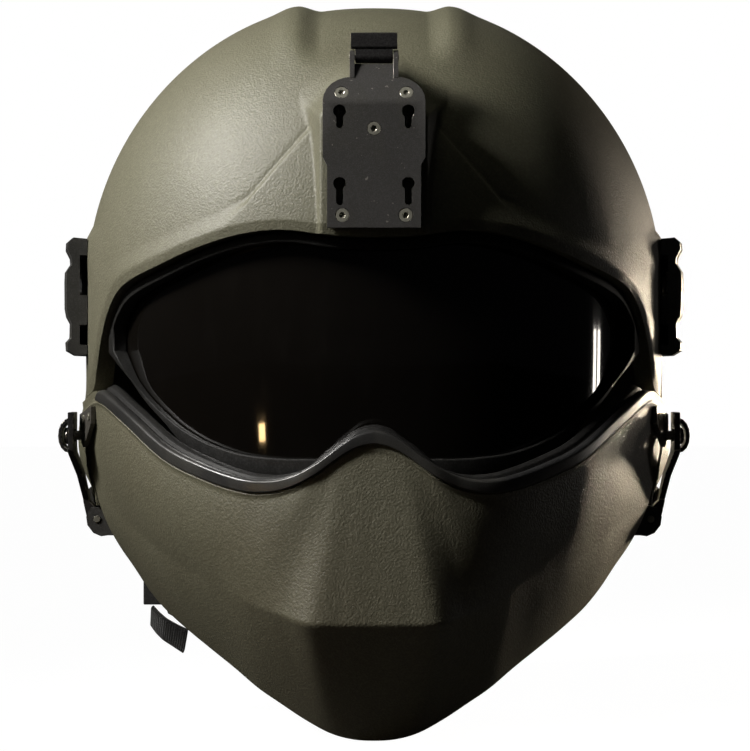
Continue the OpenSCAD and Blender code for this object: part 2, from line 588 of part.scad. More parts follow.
// Soft pad on the inner face of the mandible, crowned and drawn in at its edges
module mandible_pad(u0, u1, f0, f1, t, n = 8) {
    function profile(a, b) = 0.3 + 0.7 * (1 - pow(a, 4)) * (1 - pow(b, 4));
    function grid(inner) = [for (i = [0:n]) [for (j = [0:n])
        let(a = 2 * i / n - 1, b = 2 * j / n - 1,
            u = (u0 + u1) / 2 + (u1 - u0) / 2 * a * sqrt(1 - 0.3 * b * b),
            f = (f0 + f1) / 2 + (f1 - f0) / 2 * b * sqrt(1 - 0.3 * a * a))
        face(u, f) - (mandible_wall + seat + 0.2 + (inner ? t * profile(a, b) : 0)) * face_normal(u, f)]];
    sheet(grid(false), grid(true));
}
module chin_pad() color("#26261f") to_origin() mandible_pad(-3, 3, 0.12, 0.8, 12);
module cheek_pad_left() color("#26261f") to_origin() mandible_pad(6.2, 9.4, 0.1, 0.85, 13);
module cheek_pad_right() color("#26261f") to_origin() mandible_pad(-9.4, -6.2, 0.1, 0.85, 13);

// Leaf plate on the rear upper corner of the mandible, with the stud that the latch catches
leaf_u = 10.6;
leaf_f = 0.77;
leaf_a = -20.5;
leaf_t = 2;
leaf_lift = 1;
stud_at = [5, -2.5];
stud_len = 3.8;
module on_leaf(s) {
    pair_side(s) translate(face(leaf_u, leaf_f) + leaf_lift * face_normal(leaf_u, leaf_f))
        rotate([0, 0, leaf_a]) children();
}
module latch_leaf() {
    difference() {
        rotate([90, 0, 90]) linear_extrude(leaf_t) polygon([[-10, 10], [9, 6.4], [9.6, 2], [7, -5],
            [3.5, -7.5], [-2, -3.6], [-9.5, 2.7]]);
        for (p = leaf_screw_at) translate([-1, p[0], p[1]]) rotate([0, 90, 0])
            cylinder(h = leaf_t + 2, r = leaf_screw_r + 0.1, $fn = 48);
    }
    translate([leaf_t - 0.5, stud_at[0], stud_at[1]]) rotate([0, 90, 0])
        cylinder(h = stud_len + 0.5, r = stud_r, $fn = 48);
}
leaf_screw_at = [[-6.5, 5.6], [2, 4.6]];
leaf_screw_r = 1.6;
module leaf_screw_set() {
    for (p = leaf_screw_at) translate([0, p[0], p[1]]) rotate([0, 90, 0]) difference() {
        cylinder(h = leaf_t + 0.5, r = leaf_screw_r, $fn = 48);
        translate([0, 0, leaf_t - 0.6]) cylinder(h = 2, r = 0.9, $fn = 6);
    }
}
module latch_leaf_left() color("#4a4740") to_origin() on_leaf(1) latch_leaf();
module latch_leaf_right() color("#4a4740") to_origin() on_leaf(-1) latch_leaf();
module leaf_screws_left() color("#6c6a62") to_origin() on_leaf(1) leaf_screw_set();
module leaf_screws_right() color("#6c6a62") to_origin() on_leaf(-1) leaf_screw_set();

// Latch: the pin lies fore and aft in a block under the ear cover
latch_at = [118.6 * kx, 85 * kz];
arm_top = 131 * kz;
arm_face = 126.4 * kx;
slot_front = -13.4;
slot_rear = -4.6;
block_front = -16;
block_rear = -1.2;
side_play = 0.3;
// Tongue of the block, screwed to the inner wall of the shell
tongue_a0 = 77.6;
tongue_a1 = 84.2;
tongue_t = 3.4;
// Place of the stud, which the window of the arm goes over
stud_place = face(leaf_u, leaf_f) + leaf_lift * face_normal(leaf_u, leaf_f)
    + [0, leaf_t * sin(leaf_a) + stud_at[0] * cos(leaf_a), stud_at[1]];
window_z = stud_place.z;
// Fore and aft limits of the head of the arm, of its thumb loop and of its window
head_front = stud_place.y - 7.8;
head_rear = stud_place.y + 7.2;
loop_front = stud_place.y - 5.8;
loop_rear = stud_place.y + 5.2;
window_front = stud_place.y - 4.6;
window_len = 7.8;
module fore_aft(y0, y1) {
    translate([0, y1, 0]) rotate([90, 0, 0]) linear_extrude(y1 - y0) children();
}
module latch_arm() {
    f = arm_face;
    x = latch_at[0];
    z = latch_at[1];
    t = arm_t;
    difference() {
        union() {
            intersection() {
                fore_aft(head_front - 0.5, -4) polygon([[f, arm_top], [f + t, arm_top], [f + t, z + 28.4],
                    [x + 7.8, z + 19], [x + 6.2, z + 7], [x + 4.2, z - 2], [x, z - 4], [x, z + 3.8],
                    [x + 3.8, z + 7.8], [x + 5.3, z + 19.6], [f, z + 29.2]]);
                rotate([90, 0, 90]) linear_extrude(f + 20) polygon([[head_front, arm_top + 1], [head_rear, arm_top + 1],
                    [head_rear, z + 32], [slot_rear - side_play, z + 9], [slot_rear - side_play, z - 5],
                    [slot_front + side_play, z - 5], [slot_front + side_play, z + 8.5], [head_front, z + 30]]);
            }
            translate([x, 0, z]) along_y(4, slot_front + side_play, slot_rear - side_play);
            fore_aft(loop_front, loop_rear) difference() {
                polygon([[f + t - 0.2, z + 43.6], [f + t + 1.4, z + 43], [f + t + 3, z + 41.3],
                    [f + t + 4, z + 38.8], [f + t + 4.3, z + 36], [f + t + 4, z + 33.4],
                    [f + t + 3, z + 31], [f + t + 1.4, z + 29.4], [f + t - 0.2, z + 29]]);
                polygon([[f + t, z + 41.6], [f + t + 1, z + 40.9], [f + t + 2.1, z + 39.4],
                    [f + t + 2.7, z + 37.4], [f + t + 2.7, z + 34.6], [f + t + 2.1, z + 32.6],
                    [f + t + 1.1, z + 31.2], [f + t, z + 30.9]]);
            }
        }
        translate([f - 1, window_front, window_z - stud_r - 0.7]) cube([t + 2, window_len, 2 * stud_r + 1.4]);
        translate([x, 0, z]) along_y(latch_pin_r + pin_clear, -20, 2);
    }
}
module latch_block() {
    x = latch_at[0];
    z = latch_at[1];
    difference() {
        union() {
            fore_aft(block_front, block_rear) polygon([[x - 4.6, z - 7], [x - 1.7, z - 7.4], [x + 1.6, z - 6],
                [x + 4.2, z - 2.6], [x + 4.7, z + 1], [x + 2.8, z + 5], [x - 10.4, z + 5], [x - 10.4, z - 7]]);
            skin_block(tongue_a0, tongue_a1, z - 4, z + 20, shell_wall + wall_gap, shell_wall + wall_gap + tongue_t);
        }
        translate([x - 4.6, slot_front, z - 20]) cube([20, slot_rear - slot_front, 40]);
        translate([x, 0, z]) along_y(latch_pin_r + pin_clear, -20, 2);
    }
}
module latch_pin() {
    translate([latch_at[0], 0, latch_at[1]]) {
        along_y(latch_pin_r, block_front - 0.6, block_rear + 0.2);
        along_y(latch_pin_r + 1.1, block_rear + 0.1, block_rear + 1.2);
    }
}
module latch_arm_left() color("#1c1b1b") to_origin() latch_arm();
module latch_arm_right() color("#1c1b1b") to_origin() pair_side(-1) latch_arm();
module latch_block_left() color("#121212") to_origin() latch_block();
module latch_block_right() color("#121212") to_origin() pair_side(-1) latch_block();
module latch_pin_left() color("#7d7b74") to_origin() latch_pin();
module latch_pin_right() color("#7d7b74") to_origin() pair_side(-1) latch_pin();

// Liner pads lie on the hook discs, each round a direction from the centre of the shell
pad_gap = 0.6;
pad_stand = wall_gap + disc_t + pad_gap;
function toward(az, el, off) = inner_point(az, el, off);
function turned(az, el, a, b) = let(d = heading(az, el), side = [cos(az), sin(az), 0], up = cross(side, d))
    unit(d + tan(a) * side - tan(b) * up);
function point_at(d, off) = toward(atan2(d.x, -d.y), asin(d.z), off);
module liner_pad(az, el, half_a, half_b, t, n = 8) {
    function profile(a, b) = 0.32 + 0.68 * (1 - pow(a, 4)) * (1 - pow(b, 4)) - 0.16 * exp(-pow(a / 0.12, 2));
    function grid(inner) = [for (i = [0:n]) [for (j = [0:n])
        let(a = 2 * i / n - 1, b = 1 - 2 * j / n,
            d = turned(az, el, half_a * a * sqrt(1 - 0.32 * b * b), half_b * b * sqrt(1 - 0.32 * a * a)))
        point_at(d, shell_wall + pad_stand + (inner ? t * profile(a, b) : 0))]];
    sheet(grid(false), grid(true));
}
pad_places = [[0, 89.9], [0, 34], [180, 8], [62, 22], [-62, 22], [118, 14], [-118, 14]];
pad_spans = [[24, 24], [24, 9], [23, 17], [17, 12], [17, 12], [19, 14], [19, 14]];
module pad_number(i) {
    color("#2f2e26") to_origin()
        liner_pad(pad_places[i][0], pad_places[i][1], pad_spans[i][0], pad_spans[i][1], pad_t);
}
module crown_pad() pad_number(0);
module front_pad() pad_number(1);
module rear_pad() pad_number(2);
module side_pad_front_left() pad_number(3);
module side_pad_front_right() pad_number(4);
module side_pad_rear_left() pad_number(5);
module side_pad_rear_right() pad_number(6);
// Hook patches that hold the pads, each curved like the wall
patch_share = 0.6;
module hook_patch(az, el, half_a, half_b, n = 4) {
    function grid(off) = [for (i = [0:n]) [for (j = [0:n])
        let(a = 2 * i / n - 1, b = 1 - 2 * j / n,
            d = turned(az, el, half_a * a * sqrt(1 - 0.32 * b * b), half_b * b * sqrt(1 - 0.32 * a * a)))
        point_at(d, shell_wall + off)]];
    sheet(grid(wall_gap), grid(wall_gap + disc_t));
}
module pad_discs() color("#141414") to_origin() {
    for (i = [0:len(pad_places) - 1]) hook_patch(pad_places[i][0], pad_places[i][1],
        pad_spans[i][0] * patch_share, pad_spans[i][1] * patch_share);
}

// Fit band round the nape, held on two posts and drawn up by a dial
band_off = 21;
band_h = 22;
band_t = 1.6;
band_a0 = 80;
band_a1 = 168.6;
function band_z(az) = (122 - 34 * (az - band_a0) / (band_a1 - band_a0)) * kz;
module fit_band() {
    n = 14;
    function grid(off) = [for (i = [0:n]) let(a = band_a0 + (band_a1 - band_a0) * i / n)
        [for (h = [-0.5, 0.5]) skin(a, band_z(a) + h * band_h, off)]];
    sheet(grid(band_off), grid(band_off + band_t));
}
module band_left() color("#1f1f1d") to_origin() fit_band();
module band_right() color("#1f1f1d") to_origin() pair_side(-1) fit_band();
module band_posts() color("#191918") to_origin() {
    for (s = [1, -1]) pair_side(s)
        skin_block(band_a0 + 2, band_a0 + 9, band_z(band_a0) - 8, band_z(band_a0) + 6,
            shell_wall + 2 * wall_gap, band_off + seat);
}
dial_z = 88 * kz;
housing_y = shell_y + shell_half_l - band_off - 17;
housing_t = 7;
housing_r = 20;
hub_r = 3;
module dial_housing() color("#171716") to_origin() {
    translate([0, 0, dial_z]) difference() {
        union() {
            along_y(housing_r, housing_y, housing_y + housing_t);
            along_y(hub_r, housing_y + housing_t - 1, housing_y + housing_t + 8);
        }
        along_y(housing_r - 3, housing_y - 1, housing_y + 2);
    }
}
module dial_knob() color("#20201e") to_origin() {
    y0 = housing_y + housing_t + 0.4;
    translate([0, 0, dial_z]) difference() {
        along_y(knob_r, y0, y0 + 10);
        along_y(hub_r + pin_clear, y0 - 1, y0 + 8.5);
        for (i = [0:11]) rotate([0, i * 30, 0]) translate([knob_r + 1.4, 0, 0]) along_y(2.6, y0 + 1, y0 + 11);
    }
}
module nape_cushion() {
    n = 8;
    function grid(inner) = [for (i = [0:n]) [for (j = [0:n]) let(a = 2 * i / n - 1, b = 2 * j / n - 1)
        [34 * a * sqrt(1 - 0.35 * b * b),
         housing_y - seat - (inner ? 3 + 9 * (1 - pow(a, 4)) * (1 - pow(b, 4)) : 0) - 10 * a * a,
         dial_z + 2 + 20 * b * sqrt(1 - 0.35 * a * a)]]];
    g = grid(false);
    h = grid(true);
    sheet([for (i = [n:-1:0]) g[i]], [for (i = [n:-1:0]) h[i]]);
}
module nape_pad() color("#2a2a24") to_origin() nape_cushion();

// Chin strap: webbing from an anchor inside each ear cover to the cup at the chin
strap_left_path = [[111.2, 15.8, 106], [107.4, 15.8, 98], [104, 13.5, 90.5], [99.5, 6, 82], [92, -10, 73],
    [81, -26, 66], [67, -42, 59], [50, -54, 55.5], [32.3, -61.5, 54]];
strap_right_up = [[111.2, 15.8, 106], [107.4, 15.8, 98], [100.5, 12, 94.5], [92.5, 6.5, 91.5], [89.8, 5, 86],
    [89.8, 5, 77]];
strap_right_low = [[89.8, 5, 55], [89, 1, 52], [84.8, -10, 51.8], [78, -22, 51], [67, -35, 51.5], [51, -50, 53],
    [32.3, -61.5, 54]];
module webbing(path, w = web_w) {
    n = len(path);
    p = [for (q = path) at_x(q)];
    function run(i) = unit(p[min(n - 1, i + 1)] - p[max(0, i - 1)]);
    function side(i) = unit(cross(run(i), [p[i].x, p[i].y - shell_y, 0]));
    function over(i) = unit(cross(side(i), run(i)));
    o = [for (i = [0:n - 1]) [p[i] + side(i) * w / 2 + over(i) * web_t / 2,
        p[i] - side(i) * w / 2 + over(i) * web_t / 2]];
    u = [for (i = [0:n - 1]) [p[i] + side(i) * w / 2 - over(i) * web_t / 2,
        p[i] - side(i) * w / 2 - over(i) * web_t / 2]];
    sheet(o, u);
}
module chin_strap_left() color("#3c3b2e") to_origin() webbing(strap_left_path);
module chin_strap_right() color("#3c3b2e") to_origin() pair_side(-1) {
    webbing(strap_right_up);
    webbing(strap_right_low);
}
anchor_a0 = 88.2;
anchor_a1 = 97.8;
anchor_z0 = 98.5 * kz;
module strap_anchors() color("#5f5d55") to_origin() {
    for (s = [1, -1]) pair_side(s)
        skin_block(anchor_a0, anchor_a1, anchor_z0, anchor_z0 + 9, shell_wall + wall_gap, shell_wall + wall_gap + 3);
}
module cup_body() {
    n = 8;
    function grid(inner) = [for (i = [0:n]) [for (j = [0:4]) let(a = 2 * i / n - 1, b = j / 2 - 1)
        at_x([31 * a, -70.5 + 7.5 * a * a + 4 * b * b + (inner ? 5 : 0), 54 + 15 * b * sqrt(1 - 0.5 * a * a)])]];
    sheet(grid(false), grid(true));
}
module chin_cup() color("#262622") to_origin() cup_body();

// Side release buckle on the wearer's right, upright beside the jaw
buckle_x = 95.5 * kx;
buckle_y = 5;
buckle_t = 8;
buckle_w = 25;
socket_z0 = 60 * kz;
socket_z1 = 84 * kz;
plug_z0 = 47.6 * kz;
prong_z = 60.6 * kz;
prong_len = 15;
prong_w = 3;
prong_out = 8.2;
module buckle_frame() {
    pair_side(-1) translate([buckle_x, buckle_y, 0]) children();
}
module buckle_socket() color("#1a1a19") to_origin() buckle_frame() difference() {
    translate([-buckle_t / 2, -buckle_w / 2, socket_z0]) cube([buckle_t, buckle_w, socket_z1 - socket_z0]);
    translate([-buckle_t / 2 + 1.6, -buckle_w / 2 + 1.8, socket_z0 - 1])
        cube([buckle_t - 3.2, buckle_w - 3.6, 19]);
    translate([-buckle_t / 2 + 1.6, -buckle_w / 2 - 1, socket_z0 + 6])
        cube([buckle_t - 3.2, buckle_w + 2, 9.6]);
}
module buckle_plug() color("#1a1a19") to_origin() buckle_frame() union() {
    translate([-buckle_t / 2, -buckle_w / 2, plug_z0]) cube([buckle_t, buckle_w, socket_z0 - seat - plug_z0]);
    translate([-1.9, -2.2, socket_z0 - 1]) cube([3.8, 4.4, 17]);
}
module prong(s) {
    mirror([0, s > 0 ? 0 : 1, 0]) translate([-1.9, prong_out, prong_z]) rotate([90, 0, 90]) linear_extrude(3.8)
        polygon([[-prong_w / 2, 0], [prong_w / 2, 0], [prong_w / 2, 6.4], [prong_w / 2 + 1.9, 6.8],
            [prong_w / 2 + 1.5, 11], [prong_w / 2, prong_len], [-prong_w / 2, prong_len]]);
}
module buckle_prong_front() color("#1f1f1e") to_origin() buckle_frame() prong(-1);
module buckle_prong_rear() color("#1f1f1e") to_origin() buckle_frame() prong(1);
module strap_tail() color("#0f0f0e") to_origin() pair_side(-1)
    webbing([[96.3, 0, 42.2], [93.8, -1.5, 39.4], [90.5, -3, 36.6], [86, -4, 34], [81.5, -5, 31.6]]);

shell();
rim_trim();
shroud_base();
shroud_plate();
shroud_screws();
shroud_latch();
shroud_latch_pin();
rail_left();
rail_right();
rail_screws_left();
rail_screws_right();
visor_lens();
visor_frame();
visor_clip_left();
visor_clip_right();
mandible();
mandible_trim();
chin_pad();
cheek_pad_left();
cheek_pad_right();
latch_leaf_left();
latch_leaf_right();
leaf_screws_left();
leaf_screws_right();
latch_arm_left();
latch_arm_right();
latch_block_left();
latch_block_right();
latch_pin_left();
latch_pin_right();
crown_pad();
front_pad();
rear_pad();
side_pad_front_left();
side_pad_front_right();
side_pad_rear_left();
side_pad_rear_right();
pad_discs();
band_left();
band_right();
band_posts();
dial_housing();
dial_knob();
nape_pad();
chin_strap_left();
chin_strap_right();
strap_anchors();
chin_cup();
buckle_socket();
buckle_plug();
buckle_prong_front();
buckle_prong_rear();
strap_tail();
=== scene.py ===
import json
import logging
import math
from dataclasses import dataclass, field
from enum import Enum
from typing import Callable, Sequence

import bmesh
import bpy
import numpy as np
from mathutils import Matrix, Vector

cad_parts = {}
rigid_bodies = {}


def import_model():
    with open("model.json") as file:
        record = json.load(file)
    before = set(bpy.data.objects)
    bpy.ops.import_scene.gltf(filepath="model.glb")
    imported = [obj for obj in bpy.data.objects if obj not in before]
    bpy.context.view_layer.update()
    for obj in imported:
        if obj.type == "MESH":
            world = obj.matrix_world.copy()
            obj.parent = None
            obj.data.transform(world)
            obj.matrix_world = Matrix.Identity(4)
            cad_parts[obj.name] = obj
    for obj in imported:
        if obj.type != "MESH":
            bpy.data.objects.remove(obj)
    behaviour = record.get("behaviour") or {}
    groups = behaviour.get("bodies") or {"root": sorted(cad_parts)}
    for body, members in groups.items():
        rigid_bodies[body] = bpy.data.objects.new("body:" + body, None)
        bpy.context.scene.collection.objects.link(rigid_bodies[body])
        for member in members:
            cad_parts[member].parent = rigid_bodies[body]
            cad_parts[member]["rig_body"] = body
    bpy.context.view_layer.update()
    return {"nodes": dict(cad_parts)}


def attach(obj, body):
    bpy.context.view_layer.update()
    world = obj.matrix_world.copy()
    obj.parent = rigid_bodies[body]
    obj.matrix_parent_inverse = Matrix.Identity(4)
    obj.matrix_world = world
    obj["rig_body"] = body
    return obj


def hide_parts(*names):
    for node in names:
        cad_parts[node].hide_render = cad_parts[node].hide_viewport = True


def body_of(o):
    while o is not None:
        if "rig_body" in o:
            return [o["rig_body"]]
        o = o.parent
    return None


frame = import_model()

log = logging.getLogger("helmet")
Array = np.ndarray
Colour = tuple[float, float, float]
MM = 0.001
SHIFT_Y = 3.85          # from the row frame's origin to the measuring frame's, in millimetres
SHARP_DEG = 38.0        # edges sharper than this stay crisp
BROKEN_SHARP_DEG = 48.0  # the same after the edges are broken
WELD_M = 2e-6           # points of a CAD mesh closer than this are one point
FLAT_DEG = 1.5          # CAD faces that meet flatter than this are one face
TINY = 0.01             # smallest divisor for a ray that runs along a plane


class Slot(Enum):
    """Material slots of the record."""

    SHELL = "shell"
    RUBBER = "trim_rubber"
    PLATE = "shroud_plate"
    PLASTIC = "black_plastic"
    DARK_STEEL = "dark_steel"
    SCREW = "screw_steel"
    LENS = "lens"
    PAD = "pad_fabric"
    HOOK = "hook_tape"
    WEBBING = "webbing"
    CUP = "cup_plastic"


class Side(Enum):
    """Wearer's left is at +X, wearer's right at -X."""

    LEFT = 1
    RIGHT = -1


# ---------------------------------------------------------------- small maths
def smooth(low: float, high: float, value: Array) -> Array:
    """Smooth step from 0 at low to 1 at high."""
    t = np.clip((value - low) / (high - low), 0, 1)
    return t * t * (3 - 2 * t)


def soft_max(a: Array, b: Array, reach: Array | float) -> Array:
    """Larger of two values, rounded over where they are within reach."""
    near = np.maximum(reach - np.abs(a - b), 0) / reach
    return np.maximum(a, b) + near * near * reach / 4


def soft_min(a: Array, b: Array, reach: float) -> Array:
    """Smaller of two values, rounded over where they are within reach."""
    return -soft_max(-a, -b, reach)


def unit(v: Array) -> Array:
    """Vectors of length one along the last axis."""
    return v / np.maximum(np.linalg.norm(v, axis=-1, keepdims=True), 1e-12)


def full_turn(steps: int) -> Array:
    """Angles once round in radians, without the last that meets the first."""
    return np.linspace(0, 2 * math.pi, steps + 1)[:-1]


def mirrored(points: Array) -> Array:
    """Points on the other side of the middle plane."""
    return points * np.array([-1.0, 1.0, 1.0])


def spline(points: Array, at: Array) -> Array:
    """Smooth curve through control points.

    Args:
        points: control points, one per whole number from 0.
        at: places along the curve.

    Returns:
        One point for each place.
    """
    p = np.vstack([2 * points[0] - points[1], points, 2 * points[-1] - points[-2]])
    i = np.clip(np.floor(at).astype(int), 0, len(points) - 2)
    t = (at - i)[..., None]
    a, b, c, d = p[i], p[i + 1], p[i + 2], p[i + 3]
    return 0.5 * (2 * b + (c - a) * t + (2 * a - 5 * b + 4 * c - d) * t**2 + (3 * b - a - 3 * c + d) * t**3)


def eased(rows: tuple, az: Array, weights: Sequence[tuple[float, float]]) -> Array:
    """Value of a table at an azimuth, with its corners eased.

    Args:
        rows: pairs of an azimuth and a value.
        az: azimuths in degrees; both sides are alike.
        weights: pairs of an offset in degrees and its weight.

    Returns:
        One value for each azimuth.
    """
    a, value = np.array(rows).T
    return sum(w * np.interp(np.abs(np.abs(az) + d), a, value) for d, w in weights)


def rounded(outline: Sequence[Sequence[float]], radius: float) -> Array:
    """Closed outline with each corner cut back and bulged, four points for each.

    Args:
        outline: corners in order.
        radius: how far each corner is cut back, at most 0.4 of the shorter side.

    Returns:
        Points of the softer outline.
    """
    corners = [np.array(c, float) for c in outline]
    out = []
    for k, corner in enumerate(corners):
        ends = []
        for other in (corners[k - 1], corners[(k + 1) % len(corners)]):
            run = other - corner
            ends.append(corner + run * min(radius / max(np.linalg.norm(run), 1e-9), 0.4))
        out.append(ends[0])
        for t in (0.33, 0.67):
            out.append((1 - t) ** 2 * ends[0] + 2 * t * (1 - t) * corner + t * t * ends[1])
        out.append(ends[1])
    return np.array(out)


# ---------------------------------------------------------------- mesh makers
def make_piece(name: str, points: Array, faces: Sequence[Sequence[int]], sharp: float = SHARP_DEG) -> bpy.types.Object:
    """Object from points in the measuring frame.

    Args:
        name: name of the piece.
        points: points in millimetres, measured from the plane of the ears.
        faces: index lists.
        sharp: angle in degrees above which an edge stays crisp.

    Returns:
        The new object, linked to the scene.
    """
    mesh = bpy.data.meshes.new(name)
    mesh.from_pydata(((points - [0, SHIFT_Y, 0]) * MM).tolist(), [], [list(f) for f in faces])
    mesh.validate()
    return add_object(name, mesh, sharp)


def add_object(name: str, mesh: bpy.types.Mesh, sharp: float = SHARP_DEG) -> bpy.types.Object:
    """Links a mesh as an object with its face directions made even.

    Args:
        name: name of the piece.
        mesh: its mesh, in metres in the row frame.
        sharp: angle in degrees above which an edge stays crisp.

    Returns:
        The new object.
    """
    work = bmesh.new()
    work.from_mesh(mesh)
    bmesh.ops.recalc_face_normals(work, faces=work.faces[:])
    work.to_mesh(mesh)
    work.free()
    mesh.polygons.foreach_set("use_smooth", [True] * len(mesh.polygons))
    mesh.set_sharp_from_angle(angle=math.radians(sharp))
    obj = bpy.data.objects.new(name, mesh)
    bpy.context.scene.collection.objects.link(obj)
    return obj


def grid_faces(columns: int, rows: int, start: int = 0, ring: bool = False) -> list[tuple[int, int, int, int]]:
    """Quads between neighbouring columns of points.

    Args:
        columns: number of columns.
        rows: number of points in a column.
        start: number of the first point.
        ring: whether the last column meets the first.

    Returns:
        The faces, four point numbers each.
    """
    last = columns if ring else columns - 1
    out = []
    for i in range(last):
        a, c = start + i * rows, start + ((i + 1) % columns) * rows
        out += [(a + j, a + j + 1, c + j + 1, c + j) for j in range(rows - 1)]
    return out


def closed_sheet(outer: Array, inner: Array, ring: bool = False) -> tuple[Array, list]:
    """Closed sheet between two grids of the same number of columns.

    Args:
        outer: grid of points, columns first.
        inner: grid on the other side.
        ring: whether the last column joins the first.

    Returns:
        Points and faces.
    """
    k, m, n = len(outer), outer.shape[1], inner.shape[1]
    s = k * m
    faces = grid_faces(k, m, 0, ring) + grid_faces(k, n, s, ring)
    for i in range(k if ring else k - 1):
        c = (i + 1) % k
        faces.append((i * m, c * m, s + c * n, s + i * n))
        faces.append((i * m + m - 1, c * m + m - 1, s + c * n + n - 1, s + i * n + n - 1))
    if not ring:
        for i in (0, k - 1):
            out = [i * m + j for j in range(m)]
            back = [s + i * n + j for j in range(n)]
            if m == n:
                faces += [(out[j], out[j + 1], back[j + 1], back[j]) for j in range(m - 1)]
            else:
                faces.append(tuple(out + back[::-1]))
    return np.vstack([outer.reshape(-1, 3), inner.reshape(-1, 3)]), faces


def swept(sections: Array, ring: bool = False) -> tuple[Array, list]:
    """Closed tube through closed sections, with flat ends unless it is a ring.

    Args:
        sections: stations first, then the points of each section.
        ring: whether the last station joins the first.

    Returns:
        Points and faces.
    """
    k, m = sections.shape[:2]
    faces = []
    for i in range(k if ring else k - 1):
        a, c = i * m, ((i + 1) % k) * m
        faces += [(a + j, a + (j + 1) % m, c + (j + 1) % m, c + j) for j in range(m)]
    if not ring:
        faces += [tuple(range(m)), tuple((k - 1) * m + j for j in range(m))]
    return sections.reshape(-1, 3), faces


def soften_edges(obj: bpy.types.Object, width: float, angle: float, segments: int = 2) -> None:
    """Rounds the sharp edges of a piece and marks the new faces for the wear effect.

    Args:
        obj: the piece.
        width: width of the rounding in millimetres.
        angle: edges sharper than this many degrees are rounded.
        segments: faces across each rounding.
    """
    work = bmesh.new()
    work.from_mesh(obj.data)
    mark = work.faces.layers.float.new("edge_wear")
    edges = [e for e in work.edges if len(e.link_faces) == 2 and math.degrees(e.calc_face_angle(0)) > angle]
    if edges:
        done = bmesh.ops.bevel(work, geom=edges, offset=width * MM, offset_type="OFFSET", segments=segments,
                               profile=0.6, affect="EDGES", clamp_overlap=True, material=-1)
        for face in done["faces"]:
            face[mark] = 1.0
    work.to_mesh(obj.data)
    work.free()
    obj.data.polygons.foreach_set("use_smooth", [True] * len(obj.data.polygons))
    obj.data.set_sharp_from_angle(angle=math.radians(BROKEN_SHARP_DEG))
    even = obj.modifiers.new("even_normals", "WEIGHTED_NORMAL")
    even.keep_sharp = True


def machined(node: str, width: float, angle: float, segments: int = 2) -> bpy.types.Object:
    """Copy of a rigid CAD solid with its edges broken as a real part has them.

    Args:
        node: name of the CAD node.
        width: width of the rounding in millimetres.
        angle: edges sharper than this are rounded.
        segments: faces across each rounding.

    Returns:
        The new piece, which replaces the node.
    """
    mesh = frame["nodes"][node].data.copy()
    mesh.materials.clear()
    work = bmesh.new()
    work.from_mesh(mesh)
    bmesh.ops.remove_doubles(work, verts=work.verts[:], dist=WELD_M)
    bmesh.ops.dissolve_limit(work, angle_limit=math.radians(FLAT_DEG), verts=work.verts[:], edges=work.edges[:])
    work.to_mesh(mesh)
    work.free()
    obj = add_object("look_" + node, mesh)
    soften_edges(obj, width, angle, segments)
    return obj


def finish_piece(obj: bpy.types.Object, material: bpy.types.Material, slot: Slot, *nodes: str) -> bpy.types.Object:
    """Dresses a piece and puts it in the place of its CAD nodes.

    Args:
        obj: the piece.
        material: its material.
        slot: material slot of the record; not used.
        nodes: CAD nodes that it stands for; it rides on the body of the first.

    Returns:
        The same piece.
    """
    obj.data.materials.clear()
    obj.data.materials.append(material)
    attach(obj, body_of(frame["nodes"][nodes[0]])[0])
    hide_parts(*nodes)
    log.info("%s: %d faces", obj.name, len(obj.data.polygons))
    return obj


# ---------------------------------------------------------------- shader effects
class Graph:
    """Short way to fill a node tree."""

    def __init__(self, tree: bpy.types.NodeTree) -> None:
        """Keeps the tree that is filled."""
        self.tree = tree

    def add(self, kind: str, inputs: dict | None = None, **settings: object) -> bpy.types.Node:
        """Adds a node.

        Args:
            kind: node type without its ShaderNode prefix, or a group node's own type.
            inputs: value or output socket for each input, by name or number.
            settings: properties of the node.

        Returns:
            The new node.
        """
        node = self.tree.nodes.new(kind if kind.startswith("Node") else "ShaderNode" + kind)
        for key, value in settings.items():
            setattr(node, key, value)
        self.fill(node, inputs or {})
        return node

    def fill(self, node: bpy.types.Node, inputs: dict) -> None:
        """Gives each named input of a node its value or its link.

        Args:
            node: the node.
            inputs: value or output socket for each input, by name or number.
        """
        for key, value in inputs.items():
            if isinstance(value, bpy.types.NodeSocket):
                self.tree.links.new(value, node.inputs[key])
            else:
                node.inputs[key].default_value = value

    def maths(self, operation: str, *values: object) -> bpy.types.NodeSocket:
        """Adds a Math node and gives its output."""
        return self.add("Math", dict(enumerate(values)), operation=operation).outputs[0]

    def mixed(self, share: object, a: object, b: object) -> bpy.types.NodeSocket:
        """Adds a colour mix from a to b and gives its output.

        Args:
            share: value or socket from 0 to 1.
            a: colour or socket at 0.
            b: colour or socket at 1.

        Returns:
            The socket with the mixed colour.
        """
        mix = self.add("Mix", data_type="RGBA")
        self.fill(mix, {key: (*value, 1.0) if isinstance(value, tuple) else value
                        for key, value in ((0, share), (6, a), (7, b))})
        return mix.outputs[2]

    def ramp(self, value: bpy.types.NodeSocket, low: float, high: float) -> bpy.types.NodeSocket:
        """Maps a value from low..high to 0..1 with soft ends and gives the output."""
        return self.add("MapRange", {"Value": value, "From Min": low, "From Max": high},
                        interpolation_type="SMOOTHSTEP").outputs["Result"]

    def place(self, effect: bpy.types.NodeTree, inputs: dict) -> bpy.types.Node:
        """Adds an effect group with its own values."""
        return self.add("Group", inputs, node_tree=effect)


def new_material(name: str) -> tuple[bpy.types.Material, Graph, bpy.types.Node]:
    """Starts a material and gives it, a graph to fill it and its Principled shader.

    Args:
        name: name of the material.

    Returns:
        The material, a graph to fill it and its shader.
    """
    material = bpy.data.materials.new(name)
    material.use_nodes = True
    return material, Graph(material.node_tree), material.node_tree.nodes["Principled BSDF"]


